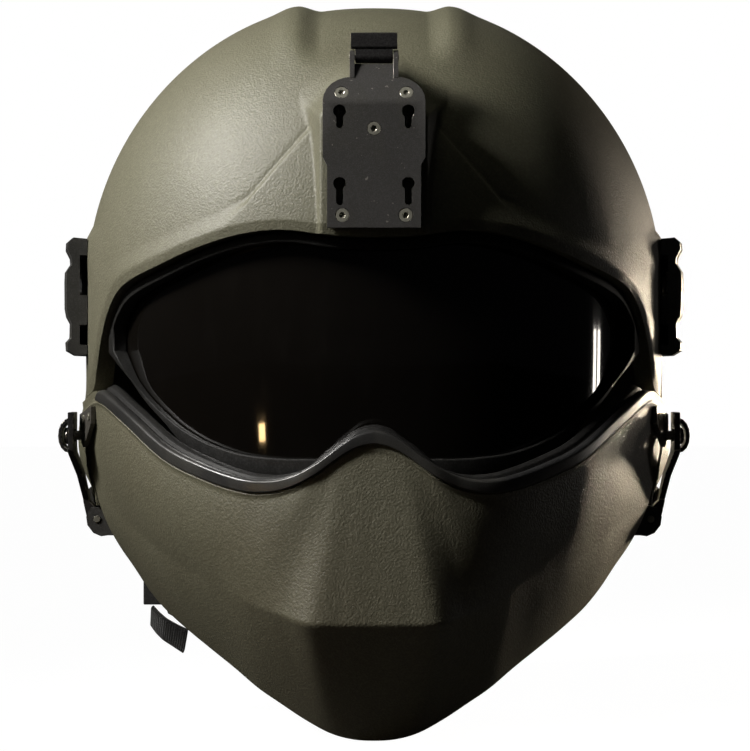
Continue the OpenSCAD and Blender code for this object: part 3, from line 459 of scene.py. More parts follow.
def new_effect(name: str, inputs: dict[str, float],
               outputs: Sequence[str]) -> tuple[bpy.types.NodeTree, Graph, bpy.types.Node, bpy.types.Node]:
    """Starts a shader node group.

    Args:
        name: name of the group.
        inputs: named number inputs with their usual values.
        outputs: named number outputs.

    Returns:
        The group, a graph to fill it, its input node and its output node.
    """
    tree = bpy.data.node_groups.new(name, "ShaderNodeTree")
    for key, value in inputs.items():
        socket = tree.interface.new_socket(name=key, in_out="INPUT", socket_type="NodeSocketFloat")
        socket.default_value = value
    for key in outputs:
        tree.interface.new_socket(name=key, in_out="OUTPUT", socket_type="NodeSocketFloat")
    graph = Graph(tree)
    return tree, graph, tree.nodes.new("NodeGroupInput"), tree.nodes.new("NodeGroupOutput")


def grain_effect() -> bpy.types.NodeTree:
    """Fine sprayed grain: a height and a mask of its high spots.

    Returns:
        The group, which gives a height and a mask of its high spots.
    """
    tree, g, given, out = new_effect("sprayed_grain", {"Scale": 1300.0, "Contrast": 0.5}, ["Height", "High Spots"])
    place = g.add("TexCoord").outputs["Object"]
    fine = g.add("TexNoise", {"Vector": place, "Scale": given.outputs["Scale"], "Detail": 2.0, "Roughness": 0.6})
    coarse = g.add("TexNoise", {"Vector": place, "Scale": g.maths("MULTIPLY", given.outputs["Scale"], 0.31),
                                "Detail": 1.0})
    middle = 0.68
    height = g.maths("MULTIPLY_ADD", coarse.outputs["Fac"], 0.22, fine.outputs["Fac"])
    spread = g.maths("MULTIPLY", given.outputs["Contrast"], 0.3)
    spots = g.add("MapRange", {"Value": height, "From Min": g.maths("SUBTRACT", middle, spread),
                               "From Max": g.maths("ADD", middle, spread)})
    g.fill(out, {"Height": height, "High Spots": spots.outputs["Result"]})
    return tree


def wear_effect() -> bpy.types.NodeTree:
    """Worn edges: a mask on the rounded edges, broken up by noise, and loose chips.

    Returns:
        The group, which gives a mask of worn edges and chips.
    """
    tree, g, given, out = new_effect("worn_edges", {"Amount": 0.5, "Scale": 260.0, "Chips": 0.0}, ["Mask"])
    place = g.add("TexCoord").outputs["Object"]
    edge = g.add("Attribute", attribute_name="edge_wear").outputs["Fac"]
    noise = g.add("TexNoise", {"Vector": place, "Scale": given.outputs["Scale"], "Detail": 4.0, "Roughness": 0.65})
    limit = g.maths("SUBTRACT", 0.8, g.maths("MULTIPLY", given.outputs["Amount"], 0.45))
    broken = g.add("MapRange", {"Value": noise.outputs["Fac"], "From Min": limit,
                                "From Max": g.maths("ADD", limit, 0.08)}).outputs["Result"]
    chip = g.add("TexNoise", {"Vector": place, "Scale": g.maths("MULTIPLY", given.outputs["Scale"], 0.8),
                              "Detail": 3.0, "Roughness": 0.7})
    chips = g.maths("MULTIPLY", g.ramp(chip.outputs["Fac"], 0.66, 0.7), given.outputs["Chips"])
    g.fill(out, {"Mask": g.maths("MAXIMUM", g.maths("MULTIPLY", edge, broken), chips)})
    return tree


def dust_effect() -> bpy.types.NodeTree:
    """Handling marks: slow patches and small smears, as a mask.

    Returns:
        The group, which gives a mask of marks.
    """
    tree, g, given, out = new_effect("handling_marks", {"Scale": 14.0, "Smears": 0.4}, ["Mask"])
    place = g.add("TexCoord").outputs["Object"]
    slow = g.add("TexNoise", {"Vector": place, "Scale": given.outputs["Scale"], "Detail": 4.0, "Roughness": 0.55,
                              "Distortion": 0.6})
    smear_place = g.add("Mapping", {"Vector": place, "Scale": (38.0, 60.0, 9.0)})
    smear = g.add("TexNoise", {"Vector": smear_place.outputs["Vector"], "Scale": 1.6, "Detail": 5.0,
                               "Roughness": 0.7})
    fine = g.maths("MULTIPLY", g.ramp(smear.outputs["Fac"], 0.5, 0.75), given.outputs["Smears"])
    g.fill(out, {"Mask": g.maths("ADD", g.ramp(slow.outputs["Fac"], 0.3, 0.72), fine)})
    return tree


def weave_effect() -> bpy.types.NodeTree:
    """Plain weave on two coordinates that the mesh carries: thread height and gaps between threads.

    Returns:
        The group, which gives a height and a mask of the gaps.
    """
    tree, g, given, out = new_effect("plain_weave", {"Pitch": 1.2}, ["Height", "Gap"])
    along = g.add("Attribute", attribute_name="cloth_u").outputs["Fac"]
    across = g.add("Attribute", attribute_name="cloth_v").outputs["Fac"]
    turns = g.maths("DIVIDE", math.pi, given.outputs["Pitch"])
    u, v = g.maths("MULTIPLY", along, turns), g.maths("MULTIPLY", across, turns)
    warp = g.maths("ABSOLUTE", g.maths("SINE", u))
    weft = g.maths("ABSOLUTE", g.maths("SINE", v))
    over = g.maths("MULTIPLY", g.maths("COSINE", u), g.maths("COSINE", v))
    lift = g.maths("MULTIPLY_ADD", over, 0.5, 0.5)
    height = g.add("Mix", {0: lift, 2: warp, 3: weft}, data_type="FLOAT").outputs[0]
    g.fill(out, {"Height": height, "Gap": g.ramp(height, 0.35, 0.0)})
    return tree


class Effects:
    """The shared shader groups, built once."""

    def __init__(self) -> None:
        """Builds every group."""
        self.grain, self.wear = grain_effect(), wear_effect()
        self.dust, self.weave = dust_effect(), weave_effect()


@dataclass(frozen=True)
class Finish:
    """A painted, moulded or metal finish."""

    name: str
    colour: Colour
    shade: Colour
    rough: float = 0.6
    metal: float = 0.0
    grain_scale: float = 1300.0
    grain_height: float = 0.12
    # spots and the spot colour paint the high spots of the grain lighter: painted glints where light would catch the
    # grain
    spots: float = 0.3
    glint_colour: Colour = (0.3, 0.3, 0.3)
    dust: float = 0.35
    dust_colour: Colour = (0.35, 0.33, 0.28)
    smears: float = 0.3
    wear: float = 0.4
    wear_colour: Colour = (0.35, 0.34, 0.32)
    wear_metal: float = 0.6
    chips: float = 0.0
    specular: float = 0.5

    def build(self, effects: Effects) -> bpy.types.Material:
        """Makes the material.

        Args:
            effects: the shared shader groups.

        Returns:
            The material, with colour variation, grain with painted glints on its high spots, marks and edge wear.
        """
        material, g, shader = new_material(self.name)
        grain = g.place(effects.grain, {"Scale": self.grain_scale, "Contrast": 0.5})
        marks = g.place(effects.dust, {"Scale": 14.0, "Smears": self.smears})
        wear = g.place(effects.wear, {"Amount": self.wear, "Scale": 300.0, "Chips": self.chips})
        base = g.mixed(marks.outputs["Mask"], self.colour, self.shade)
        # lighter colour on the high spots of the grain: painted glints that stand in for light sparkling on the grain
        base = g.mixed(g.maths("MULTIPLY", grain.outputs["High Spots"], self.spots), base, self.glint_colour)
        dusty = g.maths("MULTIPLY", g.maths("SUBTRACT", marks.outputs["Mask"], 0.35), self.dust)
        base = g.mixed(g.maths("MULTIPLY", dusty, 0.3), base, self.dust_colour)
        base = g.mixed(wear.outputs["Mask"], base, self.wear_colour)
        rough = g.maths("MULTIPLY_ADD", marks.outputs["Mask"], 0.12 * self.rough, self.rough)
        rough = g.maths("SUBTRACT", rough, g.maths("MULTIPLY", wear.outputs["Mask"], 0.25 * self.rough))
        if self.wear_metal or self.metal:
            metal = g.add("Mix", {0: wear.outputs["Mask"], 2: self.metal, 3: max(self.wear_metal, self.metal)},
                          data_type="FLOAT")
            g.fill(shader, {"Metallic": metal.outputs[0]})
        bump = g.add("Bump", {"Height": grain.outputs["Height"], "Strength": 1.0,
                              "Distance": self.grain_height * MM})
        g.fill(shader, {"Base Color": base, "Roughness": rough, "Normal": bump.outputs["Normal"],
                        "Specular IOR Level": self.specular})
        return material


@dataclass(frozen=True)
class Cloth:
    """A woven or knitted finish on the cloth_u and cloth_v coordinates."""

    name: str
    colour: Colour
    shade: Colour
    pitch: float = 1.2
    depth: float = 0.25
    fuzz: float = 0.5
    rough: float = 0.9

    def build(self, effects: Effects) -> bpy.types.Material:
        """Makes the material.

        Args:
            effects: the shared shader groups.

        Returns:
            The material, with threads, painted shade in the gaps between them, fuzz and slow changes of tone.
        """
        material, g, shader = new_material(self.name)
        weave = g.place(effects.weave, {"Pitch": self.pitch})
        marks = g.place(effects.dust, {"Scale": 22.0, "Smears": 0.2})
        fuzz = g.place(effects.grain, {"Scale": 2200.0, "Contrast": 0.6})
        base = g.mixed(marks.outputs["Mask"], self.colour, self.shade)
        # darker colour in the gaps between threads: painted shade
        base = g.mixed(g.maths("MULTIPLY", weave.outputs["Gap"], 0.75), base,
                       tuple(0.25 * c for c in self.shade))
        lint = tuple(min(1.0, 1.9 * c + 0.02) for c in self.colour)
        base = g.mixed(g.maths("MULTIPLY", fuzz.outputs["High Spots"], 0.3 * self.fuzz), base, lint)
        height = g.maths("MULTIPLY_ADD", fuzz.outputs["Height"], 0.35 * self.fuzz, weave.outputs["Height"])
        bump = g.add("Bump", {"Height": height, "Strength": 1.0, "Distance": self.depth * MM})
        g.fill(shader, {"Base Color": base, "Normal": bump.outputs["Normal"], "Specular IOR Level": 0.25,
                        "Roughness": g.maths("MULTIPLY_ADD", weave.outputs["Gap"], 0.08, self.rough),
                        "Sheen Weight": 0.35 * self.fuzz})
        return material


@dataclass(frozen=True)
class SmokedLens:
    """Dark glossy lens that lets almost nothing through."""

    name: str = "smoked_lens"
    colour: Colour = (0.003, 0.0025, 0.002)
    wiped: Colour = (0.008, 0.007, 0.006)

    def build(self, effects: Effects) -> bpy.types.Material:
        """Makes the material.

        Args:
            effects: the shared shader groups.

        Returns:
            The material, glossy with faint wipe marks.
        """
        material, g, shader = new_material(self.name)
        marks = g.place(effects.dust, {"Scale": 9.0, "Smears": 0.8})
        smeared = g.maths("MULTIPLY", marks.outputs["Mask"], 0.25)
        g.fill(shader, {"Base Color": g.mixed(smeared, self.colour, self.wiped),
                        "Roughness": g.maths("MULTIPLY_ADD", marks.outputs["Mask"], 0.05, 0.05),
                        "Coat Weight": 0.6, "Coat Roughness": 0.03, "IOR": 1.58})
        return material


class Wardrobe:
    """Every material of the helmet."""

    def __init__(self) -> None:
        """Builds the groups and the materials."""
        fx = Effects()
        unworn = dict(wear=0.0, wear_metal=0.0)
        # olive paint: its spot colour, about twice as light as the paint, is a painted glint on the grain
        olive = dict(colour=(0.098, 0.095, 0.060), shade=(0.080, 0.076, 0.046), rough=0.53, specular=0.7,
                     grain_scale=1150.0, grain_height=0.30, spots=0.45, glint_colour=(0.19, 0.18, 0.125),
                     dust_colour=(0.24, 0.22, 0.16), wear_colour=(0.25, 0.235, 0.17), wear_metal=0.0, wear=0.5)
        self.paint = Finish("olive_paint", **olive).build(fx)
        self.guard_paint = Finish("olive_paint_guard", **{**olive, "colour": (0.090, 0.082, 0.052),
                                                           "smears": 0.5}).build(fx)
        self.rubber = Finish("trim_rubber", (0.012, 0.0118, 0.012), (0.008, 0.008, 0.008), 0.30, grain_scale=2600.0,
                             grain_height=0.03, spots=0.1, specular=0.65, **unworn).build(fx)
        self.lip_rubber = Finish("lip_rubber", (0.006, 0.0055, 0.005), (0.004, 0.004, 0.004), 0.5,
                                 grain_height=0.03, spots=0.05, specular=0.22, dust=0.1, **unworn).build(fx)
        self.plate = Finish("dark_anodised_plate", (0.066, 0.063, 0.061), (0.042, 0.040, 0.035), 0.38, metal=0.45,
                            grain_scale=2400.0, grain_height=0.03, spots=0.12, wear=0.9, smears=0.7,
                            wear_colour=(0.42, 0.39, 0.35), wear_metal=0.7, chips=0.5).build(fx)
        self.plastic = Finish("black_plastic", (0.022, 0.0215, 0.021), (0.014, 0.014, 0.014), 0.42,
                              grain_scale=1700.0, grain_height=0.05, spots=0.1, wear=0.25,
                              wear_colour=(0.09, 0.085, 0.08), wear_metal=0.0).build(fx)
        self.steel = Finish("dark_steel", (0.032, 0.030, 0.030), (0.02, 0.019, 0.019), 0.38, metal=0.7,
                            grain_height=0.02, spots=0.1, wear=0.7, wear_colour=(0.33, 0.31, 0.28),
                            wear_metal=0.9).build(fx)
        self.bright_steel = Finish("bright_steel", (0.33, 0.31, 0.28), (0.2, 0.19, 0.17), 0.26, metal=0.95,
                                   grain_height=0.01, spots=0.1, wear=0.3, smears=0.6).build(fx)
        self.warm_steel = Finish("warm_grey_leaf", (0.125, 0.115, 0.098), (0.07, 0.064, 0.055), 0.42, metal=0.55,
                                 grain_height=0.03, spots=0.2, wear=0.6, wear_colour=(0.42, 0.37, 0.29),
                                 wear_metal=0.9, smears=0.8).build(fx)
        self.screw = Finish("screw_steel", (0.36, 0.35, 0.29), (0.22, 0.21, 0.17), 0.34, metal=0.6,
                            grain_height=0.02, spots=0.15, wear=0.6, wear_colour=(0.42, 0.40, 0.33),
                            wear_metal=0.9).build(fx)
        self.lens = SmokedLens().build(fx)
        self.pad = Cloth("pad_fabric", (0.036, 0.034, 0.024), (0.024, 0.023, 0.016), 1.0, 0.2, 0.8).build(fx)
        self.piping = Cloth("pad_piping", (0.020, 0.019, 0.014), (0.014, 0.014, 0.010), 0.8, 0.12, 0.4).build(fx)
        self.hook = Cloth("hook_tape", (0.010, 0.010, 0.010), (0.006, 0.006, 0.006), 0.9, 0.5, 0.9).build(fx)
        self.webbing = Cloth("webbing", (0.060, 0.057, 0.037), (0.042, 0.040, 0.026), 1.3, 0.3, 0.5, 0.8).build(fx)
        self.tail = Cloth("tail_webbing", (0.010, 0.0095, 0.009), (0.006, 0.006, 0.006), 1.1, 0.3, 0.5, 0.7).build(fx)
        self.cup = Finish("cup_rubber", (0.02, 0.0195, 0.018), (0.013, 0.013, 0.012), 0.6, grain_height=0.08,
                          grain_scale=900.0, spots=0.15, **unworn).build(fx)


# ---------------------------------------------------------------- helmet form
@dataclass
class HelmetForm:
    """Outer and inner faces of the shell, as rays from its centre.

    The slopes are millimetres forward for each millimetre across or up.
    """

    half_w: float = 125.0
    half_l: float = 132.0
    rise: float = 127.2
    drop: float = 190.0
    widest: float = 180.0
    centre_y: float = 10.0
    wall: float = 9.0
    plan: float = 2.2
    boss_y: float = 123.5
    boss_half: float = 21.2
    bend: float = 251.37
    boss_top: float = 262.0
    side_slope: float = 3.0
    roof_slope: float = 1.6
    corner_slope: float = 1.5
    corner_cut: float = 15.0
    lean_deg: float = 30.0
    edge_room: float = 7.0
    boss_az: float = 36.0
    boss_el: float = 50.0
    boss_fade: float = 12.0
    boss_fade_el: tuple = (35, 48)
    join: float = 1.6
    join_wide: float = 5.0
    join_z: tuple = (238, 262, 274, 286)
    roof_join: float = 3.0
    up_power: float = 2.05
    front_power: float = 0.6
    down_power: float = 3.0
    ear_z: float = 117.5
    ear_half_h: float = 17.0
    ear_half_l: float = 30.0
    ear_out: float = 5.7
    ear_power: float = 1.5
    ear_from_x: float = 60.0
    crease_x: float = 50.0
    crease_low: float = 216.0
    crease_slopes: tuple = (1.15, 0.37)
    channel_deep: float = 3.2
    channel_x: tuple = (22, 32)
    channel_front_z: tuple = (268, 286)
    channel_rear_z: tuple = (220, 260)
    ridge_high: float = 1.2
    ridge_x: float = 35.0
    ridge_half: float = 6.0
    band_high: float = 1.5
    band_end_x: tuple = (95, 115)
    band_near_x: tuple = (46, 62)
    band_rise: tuple = (2.4, 7)
    groove_deep: float = 0.35
    groove_half: float = 1.2
    ledge_out: float = 1.6
    ledge_z: tuple = (4, 25, 25.6, 28)
    ledge_az: tuple = (62, 74, 118, 130)
    table: tuple = ((0, 200.3), (7.4, 200.8), (10.5, 201.9), (14.7, 203.4), (18.9, 203.3), (24.3, 201.6),
                    (29.6, 198.6), (35.1, 194.8), (40.4, 190.7), (46.4, 186.9), (52.7, 182.5), (56.5, 177.4),
                    (60.3, 169.9), (64.2, 157.6), (68, 143), (72, 139), (75.5, 137.5), (76.2, 91), (90, 90),
                    (110, 93), (130, 97), (150, 94), (180, 90))

    def edge_z(self, az: Array) -> Array:
        """Height of the lower edge at an azimuth, with the corners of its table eased at the front.

        Args:
            az: azimuth in degrees, 0 at the front.

        Returns:
            One height for each azimuth, in millimetres.
        """
        share = smooth(70, 64, np.abs(az))
        soft = ((-2.2, 0.12), (-1.1, 0.23), (0, 0.3), (1.1, 0.23), (2.2, 0.12))
        return share * eased(self.table, az, soft) + (1 - share) * eased(self.table, az, ((0, 1),))

    def plan_r(self, az: Array, off: float) -> Array:
        """Horizontal radius at an azimuth, inside the face by off.

        Args:
            az: azimuth in degrees, 0 at the front.
            off: depth inside the outer face, in millimetres.

        Returns:
            One radius for each azimuth, in millimetres.
        """
        a = np.radians(az)
        return ((np.abs(np.sin(a)) / (self.half_w - off)) ** self.plan
                + (np.abs(np.cos(a)) / (self.half_l - off)) ** self.plan) ** (-1 / self.plan)

    def power(self, az: Array, up: Array) -> Array:
        """Exponent of the upright profile."""
        front = self.front_power * np.maximum(0, np.cos(np.radians(az))) ** 2
        return np.where(up, self.up_power + front, self.down_power)

    def plain_r(self, az: Array, el: Array, off: float) -> Array:
        """Distance of the plain shell from its centre.

        Args:
            az: azimuth in degrees, 0 at the front.
            el: elevation in degrees above the widest level.
            off: depth inside the outer face, in millimetres.

        Returns:
            One distance for each ray, in millimetres.
        """
        e, up = np.radians(el), np.asarray(el) >= 0
        p, c = self.power(az, up), np.where(up, self.rise, self.drop) - off
        return ((np.cos(e) / self.plan_r(az, off)) ** p + (np.abs(np.sin(e)) / c) ** p) ** (-1 / p)

    def level_el(self, az: Array, z: Array, off: float) -> Array:
        """Elevation at which the plain shell has a height.

        Args:
            az: azimuth in degrees, 0 at the front.
            z: height in millimetres.
            off: depth inside the outer face, in millimetres.

        Returns:
            One elevation for each azimuth, in degrees.
        """
        dz = z - self.widest
        up = dz >= 0
        p, c = self.power(az, up), np.where(up, self.rise, self.drop) - off
        r = self.plan_r(az, off) * np.maximum(1e-4, 1 - (np.abs(dz) / c) ** p) ** (1 / p)
        return np.degrees(np.arctan2(dz, r))

    def heading(self, az: Array, el: Array) -> Array:
        """Direction of a ray."""
        a, e = np.radians(az), np.radians(el)
        return np.stack([np.cos(e) * np.sin(a), -np.cos(e) * np.cos(a), np.sin(e) + 0 * a], -1)

    def centre(self) -> Array:
        """Centre of the rays."""
        return np.array([0, self.centre_y, self.widest])

    def bulge(self, p: Array) -> Array:
        """Ear swelling, added along the ray."""
        q = ((p[..., 2] - self.ear_z) / self.ear_half_h) ** 2 + ((p[..., 1] - self.centre_y) / self.ear_half_l) ** 2
        return self.ear_out * np.exp(-(q**self.ear_power)) * (np.abs(p[..., 0]) > self.ear_from_x)

    def crease_z(self, x: Array) -> Array:
        """Height of the crease above the brow band.

        Args:
            x: distance from the middle plane, in millimetres.

        Returns:
            One height for each distance, in millimetres.
        """
        inward, outward = self.crease_slopes
        return np.where(x < self.crease_x, self.crease_low + (self.crease_x - x) * inward,
                        self.crease_low - (x - self.crease_x) * outward)

    def features(self, p: Array, az: Array) -> Array:
        """Crown channel, its ridges, brow band and side ledge.

        Args:
            p: points of the plain shell, in millimetres.
            az: azimuth in degrees, 0 at the front.

        Returns:
            How far each point moves out along its ray, in millimetres.
        """
        x, dy, z = np.abs(p[..., 0]), p[..., 1] - self.centre_y, p[..., 2]
        fade = np.where(dy < 0, smooth(*self.channel_front_z, z), smooth(*self.channel_rear_z, z))
        channel = -self.channel_deep * (1 - smooth(*self.channel_x, x)) * fade
        ridge = self.ridge_high * np.exp(-(((x - self.ridge_x) / self.ridge_half) ** 2)) * fade
        below = self.crease_z(x) - z
        ends = (1 - smooth(*self.band_end_x, x)) * (dy < 0)
        near = 1 - smooth(*self.band_near_x, x)
        groove = self.groove_deep * near * np.exp(-(((below + 0.5) / self.groove_half) ** 2))
        band = (self.band_high * smooth(0, self.band_rise[0] + self.band_rise[1] * (1 - near), below) - groove) * ends
        height, a = z - self.widest, np.abs(az)
        ledge = (self.ledge_out * (1 - smooth(*self.ledge_z[2:], height)) * smooth(*self.ledge_z[:2], height)
                 * smooth(*self.ledge_az[:2], a) * (1 - smooth(*self.ledge_az[2:], a)))
        return channel + ridge + band + ledge

    def boss_r(self, az: Array, el: Array) -> Array:
        """Distance of the faces of the shroud boss.

        Args:
            az: azimuth in degrees, 0 at the front.
            el: elevation in degrees above the widest level.

        Returns:
            One distance for each ray in millimetres, 0 where there is no boss.
        """
        a, e = np.radians(az), np.radians(el)
        f, s, u = np.cos(e) * np.cos(a), np.cos(e) * np.abs(np.sin(a)), np.sin(e)
        t, reach, lean = math.tan(math.radians(self.lean_deg)), self.centre_y + self.boss_y, self.bend - self.widest
        front = reach / np.maximum(TINY, f)
        side = (reach + self.side_slope * self.boss_half) / np.maximum(TINY, f + self.side_slope * s)
        top = (reach + t * lean) / np.maximum(TINY, f + t * u)
        roof_at = reach - t * (self.boss_top - self.bend) + self.roof_slope * (self.boss_top - self.widest)
        close = roof_at / np.maximum(TINY, f + self.roof_slope * u)
        shoulder = (roof_at + self.corner_cut) / np.maximum(TINY, f + self.roof_slope * u + self.corner_slope * s)
        edge = (self.boss_half + self.edge_room) / np.maximum(TINY, s)
        roof = soft_min(soft_min(close, shoulder, self.roof_join), edge, self.roof_join)
        r = soft_min(soft_min(np.minimum(front, top), side, self.join), roof, self.join)
        r = r - self.boss_fade * smooth(*self.boss_fade_el, np.asarray(el, float))
        return np.where((np.abs(az) > self.boss_az) | (el < 0) | (el > self.boss_el), 0, r)

    def outer(self, az: Array, el: Array) -> Array:
        """Points of the outer face.

        Args:
            az: azimuth in degrees, 0 at the front.
            el: elevation in degrees above the widest level.

        Returns:
            One point for each ray, in millimetres.
        """
        r, h = self.plain_r(az, el, 0), self.heading(az, el)
        q = self.centre() + r[..., None] * h
        plain = r + self.features(q, az) + self.bulge(q)
        z, (low, full, ease, high) = q[..., 2], self.join_z
        reach = self.join + self.join_wide * smooth(low, full, z) * (1 - smooth(ease, high, z))
        r = soft_max(plain, self.boss_r(az, el), reach)
        return self.centre() + r[..., None] * h

    def inner(self, az: Array, el: Array, off: float) -> Array:
        """Points of a surface inside the plain shell.

        Args:
            az: azimuth in degrees, 0 at the front.
            el: elevation in degrees above the widest level.
            off: depth inside the outer face, in millimetres.

        Returns:
            One point for each ray, in millimetres.
        """
        r, h = self.plain_r(az, el, off), self.heading(az, el)
        q = self.centre() + r[..., None] * h
        return self.centre() + (r + self.bulge(q))[..., None] * h

    def skin(self, az: Array, z: Array, off: Array | float) -> Array:
        """Point of an inside surface at an azimuth and a height.

        Args:
            az: azimuth in degrees, 0 at the front.
            z: height in millimetres.
            off: depth inside the outer face, in millimetres.

        Returns:
            One point for each azimuth and height, in millimetres.
        """
        az, z, off = np.broadcast_arrays(np.asarray(az, float), z, off)
        if np.ndim(off) and off.size and np.ptp(off) > 0:
            out = np.zeros(az.shape + (3,))
            for value in np.unique(off):
                pick = off == value
                out[pick] = self.inner(az[pick], self.level_el(az[pick], z[pick], value), value)
            return out
        value = float(np.ravel(off)[0])
        return self.inner(az, self.level_el(az, z, value), value)


@dataclass
class Shell:
    """The painted shell and the rubber channel on its rim."""

    form: HelmetForm
    lip: float = 4.0
    lip_depth: float = 1.3
    spans: tuple = ((0, 28, 0.3), (28, 66, 0.5), (66, 75.5, 0.95))
    step_az: tuple = (75.5, 76.2)
    rear_span: tuple = (77.2, 180, 1.3)
    even_el: float = 16.0
    fine_el: float = 58.0
    fine_step: float = 0.42
    last_el: float = 88.6
    rim_az: float = 88.0
    rim_lift: float = 2.6
    rim_t: float = 3.0

    def columns(self) -> Array:
        """Azimuths round the shell, closer together at the front."""
        half = np.concatenate([np.arange(*span) for span in self.spans] + [self.step_az, np.arange(*self.rear_span)])
        return np.concatenate([half, [180.0], -half[:0:-1]])

    def build(self, looks: Wardrobe) -> None:
        """Makes the shell.

        Args:
            looks: the materials.
        """
        f, az = self.form, self.columns()
        steps = np.concatenate([[0, 0.012, 0.03, 0.055, 0.085, 0.12], np.linspace(0.16, 1, 30)])
        grids = []
        even, fine, last = self.even_el, self.fine_el, self.last_el
        outer_up = np.concatenate([np.arange(even, fine, self.fine_step), np.linspace(fine, last, 44)])
        for off, low, up in ((0, steps, outer_up), (f.wall, np.linspace(0, 1, 18), np.linspace(even, last, 36))):
            e0 = f.level_el(az, f.edge_z(az), off)
            el = np.concatenate([e0[:, None] + (even - e0[:, None]) * low[None, :],
                                 np.repeat(up[None, 1:], len(az), 0)], 1)
            wide = np.repeat(az[:, None], el.shape[1], 1)
            grids.append(f.outer(wide, el) if off == 0 else f.inner(wide, el, off))
        outer, inner = grids
        rise = outer[..., 2] - outer[:, :1, 2]
        tuck = self.lip_depth * np.maximum(0, 1 - rise / self.lip) * smooth(75, 70, np.abs(az))[:, None]
        outer = outer - tuck[..., None] * f.heading(np.repeat(az[:, None], outer.shape[1], 1), 0 * rise)
        k, m, n = len(az), outer.shape[1], inner.shape[1]
        s = k * m
        crown = np.array([0.0]), np.array([90.0])
        points = np.vstack([outer.reshape(-1, 3), inner.reshape(-1, 3), f.outer(*crown), f.inner(*crown, f.wall)])
        faces = grid_faces(k, m, 0, True) + grid_faces(k, n, s, True)
        for i in range(k):
            c = (i + 1) % k
            faces += [(i * m, c * m, s + c * n, s + i * n), (i * m + m - 1, c * m + m - 1, s + k * n),
                      (s + i * n + n - 1, s + c * n + n - 1, s + k * n + 1)]
        obj = make_piece("shell_painted", points, faces, 50)
        soften_edges(obj, 0.9, 46, 2)
        finish_piece(obj, looks.paint, Slot.SHELL, "shell")
        self.rim(looks)

    def rim(self, looks: Wardrobe) -> None:
        """Makes the rubber channel on the rim behind the latches.

        Args:
            looks: the materials.
        """
        f, t, lift = self.form, self.rim_t, self.rim_lift
        az = np.concatenate([np.arange(self.rim_az, 180, 1.2), [180.0]])
        az = np.concatenate([az, 360 - az[-2::-1]])
        a = np.where(az > 180, az - 360, az)
        z = f.edge_z(a)
        outer_el, inner_el, h = f.level_el(a, z, 0), f.level_el(a, z, f.wall), f.heading(a, 0 * a)
        down = np.array([0, 0, -1.0])
        tops = [f.outer(a, outer_el + lift), f.outer(a, outer_el), f.inner(a, inner_el, f.wall),
                f.inner(a, inner_el + lift, f.wall)]
        big = [tops[0] + t * h, tops[1] + t * h + t * down, tops[2] - t * h + t * down, tops[3] - t * h]
        gap = [tops[3] - h, tops[2] - h + down, tops[1] + h + down, tops[0] + h]
        stack = np.stack(big + gap, 1)
        sections = np.array([rounded(section, 0.9) for section in stack])
        points, faces = swept(sections)
        obj = make_piece("rim_channel", points, faces)
        finish_piece(obj, looks.rubber, Slot.RUBBER, "rim_trim")


# ---------------------------------------------------------------- mandible
@dataclass
class GuardForm:
    """Outer face of the mandible guard on three rows of control points."""

    top: tuple = ((0, -132.5, 120), (7, -132.5, 118.5), (14, -132.3, 114.5), (24.1, -131.5, 107.3),
                  (32.8, -129, 102.9), (42.2, -126, 101), (53.3, -121, 101.9), (68.4, -110, 106.5),
                  (84.2, -95, 113.8), (101.1, -72, 127.2), (114.5, -48, 136), (123.8, -23, 131.2))
    crease: tuple = ((0, -134, 49.6), (12.5, -134, 49.6), (25.5, -133, 50.2), (36, -125, 53),
                     (44, -118.5, 55.5), (52, -111.5, 58.5), (61, -102.5, 63), (71, -92, 67),
                     (82, -80, 72), (94, -64, 79.5), (105, -46, 87.5), (117, -22, 92))
    low: tuple = ((0, -92, 0), (9, -91.7, 0.6), (18, -90.3, 3), (28, -87, 8), (38, -82.5, 14),
                  (47, -77.5, 19.5), (57, -70.5, 27), (67.5, -62.5, 34.3), (78, -52.5, 41.5),
                  (88, -41, 49), (96, -30, 57), (102.5, -20, 65.2))
    end: int = 11
    wall: float = 6.0
    swell_u: tuple = (2, 4.5)
    rear_u: tuple = (8.5, 11)
    upper_swell: float = 3.4
    lower_swell: float = 1.6

    def row(self, points: tuple, u: Array) -> Array:
        """Points of a control row at places along it, negative on the wearer's right."""
        half = np.array(points, float)
        return spline(np.vstack([mirrored(half[:0:-1]), half]), u + self.end)

    def face(self, u: Array, f: Array) -> Array:
        """Outer face: f is -1 at the lower rim, 0 at the crease and 1 at the top.

        Args:
            u: place along the guard, 0 at the front and negative on the wearer's right.
            f: place on the face, -1 at the lower rim, 0 at the crease and 1 at the top.

        Returns:
            One point for each place, in millimetres.
        """
        u, f = np.broadcast_arrays(np.asarray(u, float), f)
        t, c, r = self.row(self.top, u), self.row(self.crease, u), self.row(self.low, u)
        side = smooth(*self.swell_u, np.abs(u))[..., None]
        rear = 1 - 0.75 * smooth(*self.rear_u, np.abs(u))[..., None]
        out = unit(np.stack([c[..., 0], c[..., 1] + 10, 0 * u], -1))
        g = f[..., None]
        upper = c + (t - c) * g + out * self.upper_swell * side * rear * 4 * g * (1 - g)
        lower = c + (c - r) * g + out * self.lower_swell * (0.4 + 0.6 * side) * 4 * -g * (1 + g)
        return np.where(g >= 0, upper, lower)

    def normal(self, u: Array, f: Array) -> Array:
        """Outward direction of the face.

        Args:
            u: place along the guard, 0 at the front and negative on the wearer's right.
            f: place on the face, -1 at the lower rim, 0 at the crease and 1 at the top.

        Returns:
            One unit vector for each place.
        """
        u, f = np.broadcast_arrays(np.asarray(u, float), f)
        h = 0.05
        f0 = np.where(f >= 1, f - h, f)
        across = self.face(np.minimum(self.end, u + h), f) - self.face(np.maximum(-self.end, u - h), f)
        return unit(np.cross(across, self.face(u, f0 + h) - self.face(u, f0)))

    def up(self, u: Array) -> Array:
        """Direction of the face at its top edge."""
        return unit(self.face(u, np.ones_like(u)) - self.face(u, 0.9 * np.ones_like(u)))


